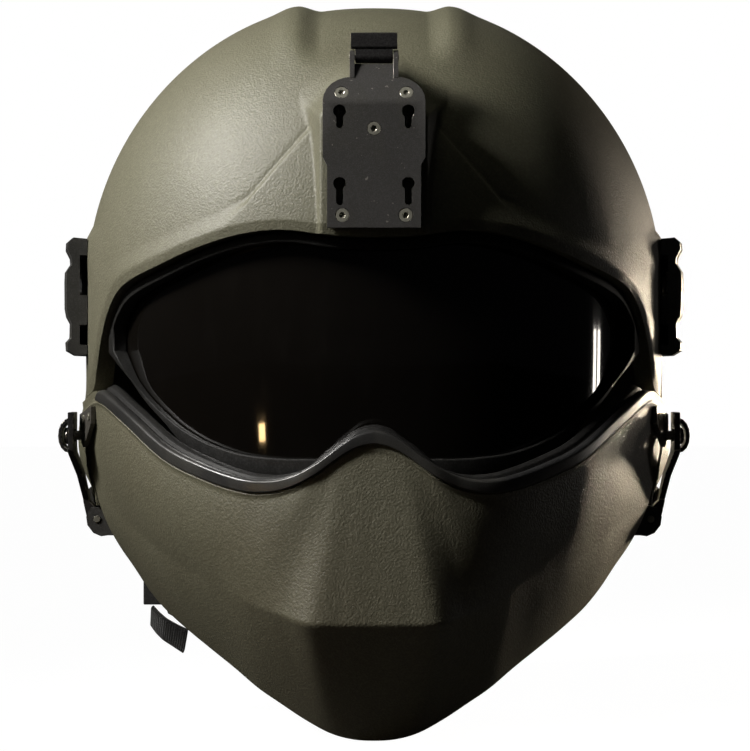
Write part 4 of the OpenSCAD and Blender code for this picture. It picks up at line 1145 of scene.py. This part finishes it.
@dataclass
class Mandible:
    """Guard, its rubber trim and the pads on its inner face."""

    form: GuardForm
    trim_t: float = 1.5
    trim_h: float = 7.4
    seat: float = 0.3
    trim_end: float = 10.0
    tip_from: float = 9.72
    lip_faces: range = range(19, 40)
    top_steps: tuple = (1.3, 2.7, 4.0)
    bead: float = 0.85
    step_mm: tuple = (13, 60)

    def build(self, looks: Wardrobe) -> None:
        """Makes the guard, trim and pads.

        Args:
            looks: the materials.
        """
        self.guard(looks)
        self.trim(looks)
        self.pad("chin_pad", -3, 3, 0.12, 0.8, 12, looks)
        self.pad("cheek_pad_left", 6.2, 9.4, 0.1, 0.85, 13, looks)
        self.pad("cheek_pad_right", -9.4, -6.2, 0.1, 0.85, 13, looks)

    def guard(self, looks: Wardrobe) -> None:
        """Makes the painted guard.

        Args:
            looks: the materials.
        """
        g = self.form
        u = np.linspace(-g.end, g.end, 2 * g.end * 12 + 1)
        f = np.concatenate([np.linspace(-1, 0, 30)[:-1], np.linspace(0, 1, 46)])
        wide, tall = np.meshgrid(u, f, indexing="ij")
        face, normal = g.face(wide, tall), g.normal(wide, tall)
        rise = g.up(u)[:, None, :] * np.array(self.top_steps)[None, :, None]
        top, top_normal = face[:, -1:, :] + rise, np.repeat(normal[:, -1:, :], 3, 1)
        face, normal = np.concatenate([face, top], 1), np.concatenate([normal, top_normal], 1)
        below = face[:, -4:-3, 2] - face[..., 2]
        bead = self.bead * np.exp(-(((below - 1.0) / 0.75) ** 2)) * smooth(-0.8, 0.2, below)
        outer = face + normal * bead[..., None]
        inner = face - normal * g.wall
        points, faces = closed_sheet(outer, inner)
        obj = make_piece("mandible_painted", points, faces, 50)
        soften_edges(obj, 0.9, 48, 2)
        finish_piece(obj, looks.guard_paint, Slot.SHELL, "mandible")

    def trim(self, looks: Wardrobe) -> None:
        """Makes the rubber trim on the top edge of the guard.

        Args:
            looks: the materials.
        """
        g, w, t, s, h = self.form, self.form.wall, self.trim_t, self.seat, self.trim_h
        last = np.array([9.95, 9.98, 9.995, self.trim_end])
        u = np.linspace(-self.trim_end, self.trim_end, 20 * 10 + 1)
        u = np.unique(np.concatenate([-last, u, last]))
        band = rounded([[t + s, 0], [t + s, h * 0.6], [t - 0.6, h * 0.73], [-0.9, h * 0.76], [-1.5, h * 0.67],
                        [-2.4, h * 0.68], [-3, h * 0.9], [-w + 0.6, h * 1.04], [-w - t - s, h * 0.86],
                        [-w - t - s, 0]], 0.55)
        hollow = [[-w - s, 0], [-w - s, 4 * 0.7], [-w - s, 4 + s], [s, 4 + s], [s, 4 * 0.7], [s, 0]]
        section = np.vstack([band, hollow])
        base, normal, up = g.face(u, np.ones_like(u)), g.normal(u, np.ones_like(u)), g.up(u)
        tip = np.sqrt(np.clip(1 - (np.maximum(0, np.abs(u) - self.tip_from) / 0.28) ** 2, 0.02, 1))
        tall = section[None, :, 1] * (0.25 + 0.75 * tip[:, None])
        points = (base[:, None, :] + section[None, :, 0, None] * normal[:, None, :]
                  + tall[..., None] * up[:, None, :])
        points, faces = swept(points)
        obj = make_piece("mandible_trim_rubber", points, faces, 60)
        finish_piece(obj, looks.rubber, Slot.RUBBER, "mandible_trim")
        obj.data.materials.append(looks.lip_rubber)
        for face in obj.data.polygons:
            if face.vertices[0] % len(section) in self.lip_faces:
                face.material_index = 1

    def pad(self, node: str, u0: float, u1: float, f0: float, f1: float, t: float, looks: Wardrobe) -> None:
        """Makes one pad of the guard.

        Args:
            node: CAD node that it stands for.
            u0: start along the guard.
            u1: end along the guard.
            f0: lower edge on the face.
            f1: upper edge on the face.
            t: thickness in millimetres.
            looks: the materials.
        """
        g = self.form

        def surface(a: Array, b: Array, depth: Array) -> Array:
            """Point of the pad at a place from -1 to 1 each way and a depth.

            Args:
                a: place across, from -1 to 1.
                b: place up, from -1 to 1.
                depth: depth in millimetres.

            Returns:
                One point for each place, in millimetres.
            """
            u = (u0 + u1) / 2 + (u1 - u0) / 2 * a * np.sqrt(1 - 0.3 * b * b)
            f = (f0 + f1) / 2 + (f1 - f0) / 2 * b * np.sqrt(1 - 0.3 * a * a)
            return g.face(u, f) - (g.wall + self.seat + 0.2 + depth)[..., None] * g.normal(u, f)

        cushion(node, surface, t, looks, size=(abs(u1 - u0) * self.step_mm[0], abs(f1 - f0) * self.step_mm[1]))


def cushion(node: str, surface: Callable[[Array, Array, Array], Array], t: float, looks: Wardrobe,
            size: tuple[float, float]) -> None:
    """Foam pad in a sewn cover, with piping round it and a sewn channel across it.

    Args:
        node: CAD node that it stands for.
        surface: gives a point from two places between -1 and 1 and a depth from the carrying wall.
        t: thickness in millimetres.
        looks: the materials.
        size: rough width and height in millimetres, for the weave.
    """
    n, around, facets, thread_r = 44, 120, 8, 0.85
    side = np.sin(np.linspace(-1, 1, n + 1) * math.pi / 2)
    a, b = np.meshgrid(side, side, indexing="ij")
    crown = 0.3 + 0.7 * (1 - np.abs(a) ** 3.2) ** 0.8 * (1 - np.abs(b) ** 3.2) ** 0.8
    crown = crown - 0.2 * np.exp(-((a / 0.07) ** 2)) * (1 - 0.6 * b**4)
    dimple = 0.02 * np.sin(7 * a + 2.1 * b + len(node)) * np.sin(5.3 * b - a + 0.7 * len(node))
    puckers = 0.018 * np.sin(24 * b) * np.exp(-((a / 0.16) ** 2)) + 0.015 * np.sin(30 * a) * smooth(0.8, 1, np.abs(b))
    face = surface(a, b, t * np.clip(crown + dimple + puckers, 0.05, 1.02))
    back = surface(a, b, 0 * a)
    points, faces = closed_sheet(back, face)
    obj = make_piece(node + "_cover", points, faces, 60)
    store_cloth(obj, np.concatenate([(a * size[0] / 2).ravel()] * 2), np.concatenate([(b * size[1] / 2).ravel()] * 2))
    finish_piece(obj, looks.pad, Slot.PAD, node)
    turn = full_turn(around)
    c, s = np.cos(turn), np.sin(turn)
    square = 1 / np.maximum(np.abs(c), np.abs(s))
    pa, pb = c * square, s * square
    line = surface(pa, pb, t * 0.2 + 0 * pa)
    run = unit(np.roll(line, -1, 0) - np.roll(line, 1, 0))
    out = unit(line - line.mean(0))
    out = unit(out - (out * run).sum(-1, keepdims=True) * run)
    up = np.cross(run, out)
    ring = full_turn(facets)
    tube = line[:, None, :] + thread_r * (np.cos(ring)[None, :, None] * out[:, None, :]
                                          + np.sin(ring)[None, :, None] * up[:, None, :])
    points, faces = swept(tube, ring=True)
    piping = make_piece(node + "_piping", points, faces, 80)
    store_cloth(piping, np.repeat(np.arange(around) * 1.7, facets), np.tile(np.arange(facets) * 0.7, around))
    piping.data.materials.append(looks.piping)
    piping.parent = obj


class Gathered:
    """Stretches of cloth that make one piece."""

    def __init__(self) -> None:
        """Starts without any."""
        self.points, self.faces, self.u, self.v = [], [], [], []

    def add(self, points: Array, faces: Sequence[Sequence[int]], u: Array, v: Array) -> None:
        """Adds a stretch with its cloth coordinates.

        Args:
            points: its points in millimetres.
            faces: its faces, by the numbers of its own points.
            u: place of each point along the cloth, in millimetres.
            v: place of each point across the cloth, in millimetres.
        """
        self.faces += [tuple(i + len(self.points) for i in face) for face in faces]
        self.points += points.tolist()
        self.u += u.tolist()
        self.v += v.tolist()

    def piece(self, name: str, sharp: float) -> bpy.types.Object:
        """Makes the piece.

        Args:
            name: name of the piece.
            sharp: angle in degrees above which an edge stays sharp.

        Returns:
            The piece.
        """
        obj = make_piece(name, np.array(self.points), self.faces, sharp)
        store_cloth(obj, np.array(self.u), np.array(self.v))
        return obj


def store_cloth(obj: bpy.types.Object, u: Array, v: Array) -> None:
    """Keeps the cloth coordinates of each point, in millimetres, on the mesh.

    Args:
        obj: the piece.
        u: place of each point along the cloth, in millimetres.
        v: place of each point across the cloth, in millimetres.
    """
    for name, values in (("cloth_u", u), ("cloth_v", v)):
        layer = obj.data.attributes.new(name, "FLOAT", "POINT")
        layer.data.foreach_set("value", np.asarray(values, np.float32))


# ---------------------------------------------------------------- visor
@dataclass
class Visor:
    """Smoked lens, its rubber frame and the clips that hold it."""

    form: HelmetForm
    lens_off: float = 10.5
    lens_t: float = 2.4
    seat: float = 0.3
    frame_d: float = 6.0
    skirt_d: float = 2.8
    frame_h: float = 4.0
    lens_az: float = 61.0
    inner_az: float = 59.5
    outer_az: float = 62.5
    columns: int = 141
    places: int = 181
    under: float = 1.0
    over: float = 4.0
    top_gap: float = 0.5
    bottom: tuple = ((0, 113), (16.5, 112.5), (25, 114), (32, 118), (39, 124.3), (49.6, 137.5), (57.4, 149.5),
                     (62.5, 157.5))
    skirt: tuple = ((0, 10), (30, 9), (37, 8), (42, 2.5), (50, 1.2), (57, 0.6), (62.5, 0.5))

    def table(self, rows: tuple, az: Array) -> Array:
        """Eased value of a table at an azimuth."""
        return eased(rows, az, [(d, 0.2) for d in (-2.4, -1.2, 0, 1.2, 2.4)])

    def build(self, looks: Wardrobe) -> None:
        """Makes the lens, the frame and the clips.

        Args:
            looks: the materials.
        """
        f = self.form
        az = np.linspace(-self.lens_az, self.lens_az, self.columns)
        share = np.linspace(0, 1, 41)
        z0, z1 = self.table(self.bottom, az) - self.under, f.edge_z(az) + self.over
        z = z0[:, None] + (z1 - z0)[:, None] * share[None, :]
        wide = np.repeat(az[:, None], len(share), 1)
        points, faces = closed_sheet(f.skin(wide, z, self.lens_off), f.skin(wide, z, self.lens_off + self.lens_t))
        obj = make_piece("smoked_lens", points, faces, 45)
        soften_edges(obj, 0.5, 50, 2)
        finish_piece(obj, looks.lens, Slot.LENS, "visor_lens")
        self.rubber_frame(looks)
        for node in ("visor_clip_left", "visor_clip_right"):
            finish_piece(machined(node, 0.4, 40), looks.plastic, Slot.PLASTIC, node)

    def rubber_frame(self, looks: Wardrobe) -> None:
        """Makes the frame as one loop round the lens.

        Args:
            looks: the materials.
        """
        f, back = self.form, self.lens_off - self.seat
        u = np.linspace(-1, 1, self.places)
        sections = []
        for top, places in ((True, u), (False, u[::-1])):
            for v in places:
                ai, ao = self.inner_az * v, self.outer_az * v
                depth = self.frame_d if top else self.skirt_d + (self.frame_d - self.skirt_d) * float(
                    smooth(0.85, 1, abs(v)))
                front = back - depth
                if top:
                    zo, zi = f.edge_z(ao) - self.top_gap, f.edge_z(ai) - self.top_gap - self.frame_h
                else:
                    zo = self.table(self.bottom, ao) - self.table(self.skirt, ao)
                    zi = self.table(self.bottom, ai) + 1 + (self.frame_h - 1) * float(smooth(0.9, 1, abs(v)))
                corners = [f.skin(ao, zo, back), f.skin(ao, zo, front), f.skin(ai, zi, front), f.skin(ai, zi, back)]
                sections.append(rounded(corners, 0.8))
        points, faces = swept(np.array(sections), ring=True)
        obj = make_piece("visor_frame_rubber", points, faces, 50)
        finish_piece(obj, looks.lip_rubber, Slot.RUBBER, "visor_frame")


# ---------------------------------------------------------------- hardware
@dataclass
class Hardware:
    """Rigid parts that keep their CAD solid and get broken edges.

    The widths of the roundings are in millimetres, and a star stands for left, then right. A rounding has
    two faces across, or three on the nodes of three_faces.
    """

    edge_angle: float = 32.0
    three_faces: tuple = ("dial_housing", "buckle_socket", "buckle_plug")
    widths: tuple = (("shroud_base", 0.5), ("shroud_plate", 0.75), ("shroud_screws", 0.22), ("shroud_latch", 0.4),
                     ("shroud_latch_pin", 0.25), ("rail_*", 0.45), ("rail_screws_*", 0.35), ("latch_leaf_*", 0.35),
                     ("leaf_screws_*", 0.22), ("latch_arm_*", 0.35), ("latch_block_*", 0.45), ("latch_pin_*", 0.25),
                     ("band_*", 0.4), ("band_posts", 0.5), ("dial_housing", 0.6), ("dial_knob", 0.5),
                     ("strap_anchors", 0.4), ("buckle_socket", 0.6), ("buckle_plug", 0.6),
                     ("buckle_prong_front", 0.4), ("buckle_prong_rear", 0.4))

    def finish_for(self, node: str, looks: Wardrobe) -> tuple[bpy.types.Material, Slot]:
        """Material and slot of a rigid part.

        Args:
            node: name of the CAD node.
            looks: the materials.

        Returns:
            The material and the record's slot.
        """
        if node == "shroud_plate":
            return looks.plate, Slot.PLATE
        if node == "shroud_latch":
            return looks.steel, Slot.DARK_STEEL
        if node.startswith("latch_leaf"):
            return looks.warm_steel, Slot.DARK_STEEL
        if node.startswith(("latch_arm", "strap_anchors")):
            return looks.steel, Slot.DARK_STEEL
        if "screws" in node or "pin" in node:
            return looks.screw, Slot.SCREW
        return looks.plastic, Slot.PLASTIC

    def build(self, looks: Wardrobe) -> None:
        """Makes every rigid part.

        Args:
            looks: the materials.
        """
        for name, width in self.widths:
            segments = 3 if name in self.three_faces else 2
            for side in Side if "*" in name else [Side.LEFT]:
                node = name.replace("*", side.name.lower())
                material, slot = self.finish_for(node, looks)
                finish_piece(machined(node, width, self.edge_angle, segments), material, slot, node)


@dataclass
class LatchKnob:
    """Turned steel knob in the thumb loop of a latch arm."""

    face_x: float = 129.0
    at: tuple = (-31.0, 121.0)
    steps: int = 48
    flutes: int = 16
    profile: tuple = ((0, 2.0), (0.2, 3.2), (0.7, 3.6), (1.2, 3.5), (1.6, 3.0), (1.9, 2.2), (2.0, 1.2), (1.8, 0.9),
                      (1.8, 0.4))

    def build(self, side: Side, looks: Wardrobe) -> None:
        """Makes the knob of one side.

        Args:
            side: which side it is on.
            looks: the materials.
        """
        turn = full_turn(self.steps)
        out, r = np.array(self.profile).T
        flute = 1 - 0.035 * (np.cos(turn * self.flutes) > 0.2)[None, :] * ((out > 1.0) & (out < 2.2))[:, None]
        rings = np.stack([np.repeat(self.face_x + out[:, None], self.steps, 1),
                          self.at[0] + r[:, None] * np.cos(turn)[None, :] * flute,
                          self.at[1] + r[:, None] * np.sin(turn)[None, :] * flute], -1)
        points, faces = swept(rings)
        if side is Side.RIGHT:
            points = mirrored(points)
        name = side.name.lower()
        obj = make_piece("latch_knob_" + name, points, faces, 50)
        obj.data.materials.append(looks.bright_steel)
        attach(obj, body_of(frame["nodes"]["latch_arm_" + name])[0])
        log.info("%s", obj.name)


# ---------------------------------------------------------------- liner
@dataclass
class Liner:
    """Pads on hook patches, and the nape pad of the fit band."""

    form: HelmetForm
    stand: float = 2.9
    thick: float = 17.0
    wall_gap: float = 0.8
    patch_t: float = 1.5
    patch_share: float = 0.6
    nape_half: tuple = (34, 20)
    nape_y: float = 104.0
    nape_z: float = 90.0
    nape_curve: float = 10.0
    nape_t: float = 12.0
    nape_seat: float = 0.3
    places: dict = field(default_factory=lambda: {
        "crown_pad": (0, 89.9, 24, 24), "front_pad": (0, 34, 24, 9), "rear_pad": (180, 8, 23, 17),
        "side_pad_front_left": (62, 22, 17, 12), "side_pad_front_right": (-62, 22, 17, 12),
        "side_pad_rear_left": (118, 14, 19, 14), "side_pad_rear_right": (-118, 14, 19, 14)})

    def point(self, place: tuple, a: Array, b: Array, depth: Array) -> Array:
        """Point of a patch round a direction, at a depth from the plain shell.

        Args:
            place: azimuth, elevation and half spans in degrees.
            a: place across, from -1 to 1.
            b: place up, from -1 to 1.
            depth: depth below the outer face, for each point.

        Returns:
            The points.
        """
        az, el, half_a, half_b = place
        f = self.form
        d = f.heading(np.array(float(az)), np.array(float(el)))
        side = np.array([math.cos(math.radians(az)), math.sin(math.radians(az)), 0])
        up = np.cross(side, d)
        ta = np.tan(np.radians(half_a * a * np.sqrt(1 - 0.32 * b * b)))[..., None]
        tb = np.tan(np.radians(half_b * b * np.sqrt(1 - 0.32 * a * a)))[..., None]
        ray = unit(d + ta * side - tb * up)
        ray_az = np.degrees(np.arctan2(ray[..., 0], -ray[..., 1]))
        ray_el = np.degrees(np.arcsin(ray[..., 2]))
        flat = [f.inner(np.array([p]), np.array([q]), o)[0]
                for p, q, o in zip(ray_az.ravel(), ray_el.ravel(), np.broadcast_to(depth, ray_az.shape).ravel())]
        return np.array(flat).reshape(ray_az.shape + (3,))

    def build(self, looks: Wardrobe) -> None:
        """Makes the pads, the hook patches and the nape pad.

        Args:
            looks: the materials.
        """
        for node, place in self.places.items():
            def surface(a: Array, b: Array, depth: Array, place: tuple = place) -> Array:
                """Point of this pad."""
                return self.point(place, a, -b, self.form.wall + self.stand + depth)
            cushion(node, surface, self.thick, looks, size=(place[2] * 4.2, place[3] * 4.2))
        self.patches(looks)
        self.nape(looks)

    def patches(self, looks: Wardrobe) -> None:
        """Makes the hook patches as one piece.

        Args:
            looks: the materials.
        """
        patches, side = Gathered(), np.linspace(-1, 1, 21)
        wall = self.form.wall + self.wall_gap
        a, b = np.meshgrid(side, side, indexing="ij")
        for az, el, half_a, half_b in self.places.values():
            place = (az, el, half_a * self.patch_share, half_b * self.patch_share)
            sheet = closed_sheet(self.point(place, a, -b, wall), self.point(place, a, -b, wall + self.patch_t))
            patches.add(*sheet, np.tile((a * half_a * 1.2).ravel(), 2), np.tile((b * half_b * 1.2).ravel(), 2))
        finish_piece(patches.piece("hook_patches", 50), looks.hook, Slot.HOOK, "pad_discs")

    def nape(self, looks: Wardrobe) -> None:
        """Makes the nape pad in front of the dial.

        Args:
            looks: the materials.
        """
        half_w, half_h = self.nape_half

        def surface(a: Array, b: Array, depth: Array) -> Array:
            """Point of the nape pad.

            Args:
                a: place across, from -1 to 1.
                b: place up, from -1 to 1.
                depth: depth in millimetres.

            Returns:
                One point for each place, in millimetres.
            """
            return np.stack([half_w * a * np.sqrt(1 - 0.35 * b * b),
                             self.nape_y - self.nape_seat - depth - self.nape_curve * a * a,
                             self.nape_z + half_h * b * np.sqrt(1 - 0.35 * a * a)], -1)
        cushion("nape_pad", surface, self.nape_t, looks, size=(2 * half_w, 2 * half_h))


# ---------------------------------------------------------------- chin strap
@dataclass
class Harness:
    """Webbing and strap tail."""

    width: float = 19.0
    thick: float = 1.8
    centre_y: float = 10.0
    left: tuple = ((111.2, 15.8, 106), (107.4, 15.8, 98), (104, 13.5, 90.5), (99.5, 6, 82), (92, -10, 73),
                   (81, -26, 66), (67, -42, 59), (50, -54, 55.5), (32.3, -61.5, 54))
    right_up: tuple = ((111.2, 15.8, 106), (107.4, 15.8, 98), (100.5, 12, 94.5), (92.5, 6.5, 91.5), (89.8, 5, 86),
                       (89.8, 5, 77))
    right_low: tuple = ((89.8, 5, 55), (89, 1, 52), (84.8, -10, 51.8), (78, -22, 51), (67, -35, 51.5),
                        (51, -50, 53), (32.3, -61.5, 54))
    tail: tuple = ((96.3, 0, 42.2), (93.8, -1.5, 39.4), (90.5, -3, 36.6), (86, -4, 34), (81.5, -5, 31.6))

    def ribbon(self, path: tuple, side: Side) -> tuple[Array, list, Array, Array]:
        """Flat webbing along a path.

        Args:
            path: control points on the wearer's left.
            side: which side it is on.

        Returns:
            Points, faces and the two cloth coordinates of each point.
        """
        p = np.array(path, float)
        n = len(p)
        run = unit(np.array([p[min(n - 1, i + 1)] - p[max(0, i - 1)] for i in range(n)]))
        across = unit(np.cross(run, np.stack([p[:, 0], p[:, 1] - self.centre_y, 0 * p[:, 0]], -1)))
        over = unit(np.cross(across, run))
        at = np.linspace(0, n - 1, (n - 1) * 10 + 1)

        def between(rows: Array) -> Array:
            """Straight steps between the rows."""
            return np.stack([np.interp(at, range(n), rows[:, k]) for k in range(3)], -1)

        middle = between(p) * 0.5 + spline(p, at) * 0.5
        across, over = unit(between(across)), unit(between(over))
        half, t = self.width / 2, self.thick / 2
        profile = np.array([point for way in (1, -1) for point in
                            [(way * half, 0)] + [(half * x, way * t * (1 - 0.35 * (abs(x) > 0.9)))
                                                 for x in np.linspace(way * 0.96, -way * 0.96, 15)]])
        points = (middle[:, None, :] + profile[None, :, 0, None] * across[:, None, :]
                  + profile[None, :, 1, None] * over[:, None, :])
        far = np.concatenate([[0], np.cumsum(np.linalg.norm(np.diff(middle, axis=0), axis=1))])
        u, v = np.repeat(far, len(profile)), np.tile(profile[:, 0], len(far))
        if side is Side.RIGHT:
            points = mirrored(points)
        points, faces = swept(points)
        return points, faces, u, v

    def strap(self, name: str, paths: Sequence[tuple], side: Side, material: bpy.types.Material, node: str) -> None:
        """Makes one strap from its stretches of webbing.

        Args:
            name: name of the piece.
            paths: the runs of its webbing.
            side: side of the head that it is on.
            material: its material.
            node: CAD node that it stands for.
        """
        webbing = Gathered()
        for path in paths:
            webbing.add(*self.ribbon(path, side))
        finish_piece(webbing.piece(name, 60), material, Slot.WEBBING, node)

    def build(self, looks: Wardrobe) -> None:
        """Makes the straps.

        Args:
            looks: the materials.
        """
        self.strap("chin_webbing_left", [self.left], Side.LEFT, looks.webbing, "chin_strap_left")
        self.strap("chin_webbing_right", [self.right_up, self.right_low], Side.RIGHT, looks.webbing,
                   "chin_strap_right")
        self.strap("tail_webbing", [self.tail], Side.RIGHT, looks.tail, "strap_tail")


@dataclass
class ChinCup:
    """Moulded cup with a raised rim and grip ribs."""

    half_w: float = 31.0
    half_h: float = 15.0
    front_y: float = -70.5
    mid_z: float = 54.0
    wall: float = 5.0
    curve: tuple = (7.5, 4.0)
    rim: float = 0.4
    rib: float = 0.35

    def build(self, looks: Wardrobe) -> None:
        """Makes the cup.

        Args:
            looks: the materials.
        """
        a, b = np.meshgrid(np.linspace(-1, 1, 61), np.linspace(-1, 1, 31), indexing="ij")
        rim = 0.5 * (smooth(0.86, 0.95, np.abs(a)) + smooth(0.78, 0.92, np.abs(b)))
        rib = self.rib * np.cos(a * 30) * (1 - smooth(0.6, 0.8, np.abs(b))) * (1 - smooth(0.7, 0.85, np.abs(a)))

        def face(out: Array) -> Array:
            """Point of the cup at a depth."""
            return np.stack([self.half_w * a, self.front_y + self.curve[0] * a * a + self.curve[1] * b * b + out,
                             self.mid_z + self.half_h * b * np.sqrt(1 - 0.5 * a * a)], -1)

        points, faces = closed_sheet(face(-self.rim * rim - rib), face(self.wall + 0 * a))
        obj = make_piece("chin_cup_moulded", points, faces, 50)
        soften_edges(obj, 0.8, 50, 3)
        finish_piece(obj, looks.cup, Slot.CUP, "chin_cup")


# ---------------------------------------------------------------- studio
@dataclass(frozen=True)
class Lamp:
    """Soft lamp with a rectangular face: lengths in metres, power in watts, spread in degrees."""

    name: str
    at: tuple
    aim: tuple
    size: float
    power: float
    colour: Colour
    spread: float = 180.0
    tall: float | None = None
    gloss: bool = True
    matt: bool = True

    def hang(self) -> None:
        """Puts the lamp in the scene."""
        data = bpy.data.lights.new(self.name, "AREA")
        data.shape, data.color = "RECTANGLE", self.colour
        data.size, data.size_y, data.energy = self.size, self.tall or self.size, self.power
        data.spread = math.radians(self.spread)
        obj = bpy.data.objects.new(self.name, data)
        bpy.context.scene.collection.objects.link(obj)
        obj.location = self.at
        obj.visible_glossy, obj.visible_diffuse = self.gloss, self.matt
        obj.rotation_euler = (Vector(self.aim) - Vector(self.at)).to_track_quat("-Z", "Y").to_euler()


LAMPS = (
    Lamp("key", (-0.80, -0.44, 0.80), (-0.07, -0.09, 0.27), 0.26, 1.12, (1.0, 0.98, 0.94), spread=36),
    Lamp("side", (-0.85, -0.40, 0.34), (-0.03, -0.06, 0.12), 0.20, 0.09, (1.0, 0.97, 0.90), spread=70, gloss=False),
    Lamp("top", (-0.10, -0.20, 1.1), (0, -0.05, 0.28), 0.35, 0.75, (1.0, 1.0, 0.92), gloss=False),
    Lamp("fill", (-0.25, -1.4, 0.5), (0, 0, 0.2), 0.8, 0.012, (1.0, 0.98, 0.94), gloss=False),
    Lamp("edge_right", (0.55, 0.44, 0.30), (0.09, 0, 0.22), 0.10, 0.75, (1.0, 0.86, 0.68)),
    Lamp("cheek_right", (0.48, 0.40, 0.16), (0.115, -0.05, 0.11), 0.05, 0.10, (1.0, 0.85, 0.64), spread=24),
    Lamp("warm_low", (-0.34, -0.42, 0.06), (-0.03, -0.10, 0.04), 0.025, 0.005, (1.0, 0.66, 0.3), spread=50),
    Lamp("window_near", (0.85, 0.195, 0.125), (0.05, 0, 0.15), 0.03, 0.13, (1.0, 0.93, 0.84), tall=0.10, matt=False),
    Lamp("window_far", (0.85, 0.250, 0.125), (0.05, 0, 0.15), 0.03, 0.13, (1.0, 0.93, 0.84), tall=0.10, matt=False),
)


@dataclass
class Studio:
    """Floor, backdrop light, studio lamps and the camera."""

    distance: float = 1.2
    aim_z: float = 0.1465
    focal_px: float = 2755.0
    width_px: int = 750
    shift_px: float = 1.0
    sensor_mm: float = 36.0

    def build(self) -> None:
        """Makes the whole studio."""
        self.camera()
        self.world()
        self.floor()
        for lamp in LAMPS:
            lamp.hang()

    def camera(self) -> None:
        """Adds the camera, level and in front, as the photograph has it."""
        data = bpy.data.cameras.new("photo_camera")
        data.sensor_fit, data.sensor_width = "HORIZONTAL", self.sensor_mm
        data.lens = self.focal_px * self.sensor_mm / self.width_px
        data.shift_x = self.shift_px / self.width_px
        obj = bpy.data.objects.new("photo_camera", data)
        bpy.context.scene.collection.objects.link(obj)
        obj.location = (0, -self.distance, self.aim_z)
        obj.rotation_euler = (math.pi / 2, 0, 0)
        bpy.context.scene.camera = obj

    def world(self) -> None:
        """White backdrop for the camera and dim light for the object."""
        world = bpy.data.worlds.new("studio_world")
        bpy.context.scene.world = world
        world.use_nodes = True
        g = Graph(world.node_tree)
        path = g.add("LightPath")
        back = world.node_tree.nodes["Background"]
        colour = g.mixed(path.outputs["Is Camera Ray"], (0.005, 0.005, 0.0055), (1.0, 1.0, 1.0))
        g.fill(back, {"Color": colour, "Strength": 1.0})
        bpy.context.scene.view_settings.view_transform = "Standard"

    def floor(self) -> None:
        """Plain pale floor that stands under the helmet."""
        bpy.ops.mesh.primitive_plane_add(size=9, location=(0, 0, -0.0005))
        obj = bpy.context.object
        obj.name = "studio_floor"
        material, g, shader = new_material("pale_floor")
        noise = g.add("TexNoise", {"Vector": g.add("TexCoord").outputs["Object"], "Scale": 6.0})
        seen = g.add("LightPath").outputs["Is Camera Ray"]
        pale = g.mixed(noise.outputs["Fac"], (0.015, 0.015, 0.015), (0.03, 0.03, 0.03))
        g.fill(shader, {"Base Color": g.mixed(seen, (0.02, 0.02, 0.02), pale), "Roughness": 0.8,
                        "Emission Color": g.mixed(seen, (0.0, 0.0, 0.0), (0.985, 0.985, 0.985)),
                        "Emission Strength": 1.0})
        obj.data.materials.append(material)


def main() -> None:
    """Builds the helmet piece by piece, then the studio."""
    logging.basicConfig(level=logging.INFO, format="%(message)s")
    looks = Wardrobe()
    form, guard = HelmetForm(), GuardForm()
    Shell(form).build(looks)
    Visor(form).build(looks)
    Mandible(guard).build(looks)
    Hardware().build(looks)
    for side in Side:
        LatchKnob().build(side, looks)
    Liner(form).build(looks)
    Harness().build(looks)
    ChinCup().build(looks)
    Studio().build()


if __name__ == "__main__":
    main()
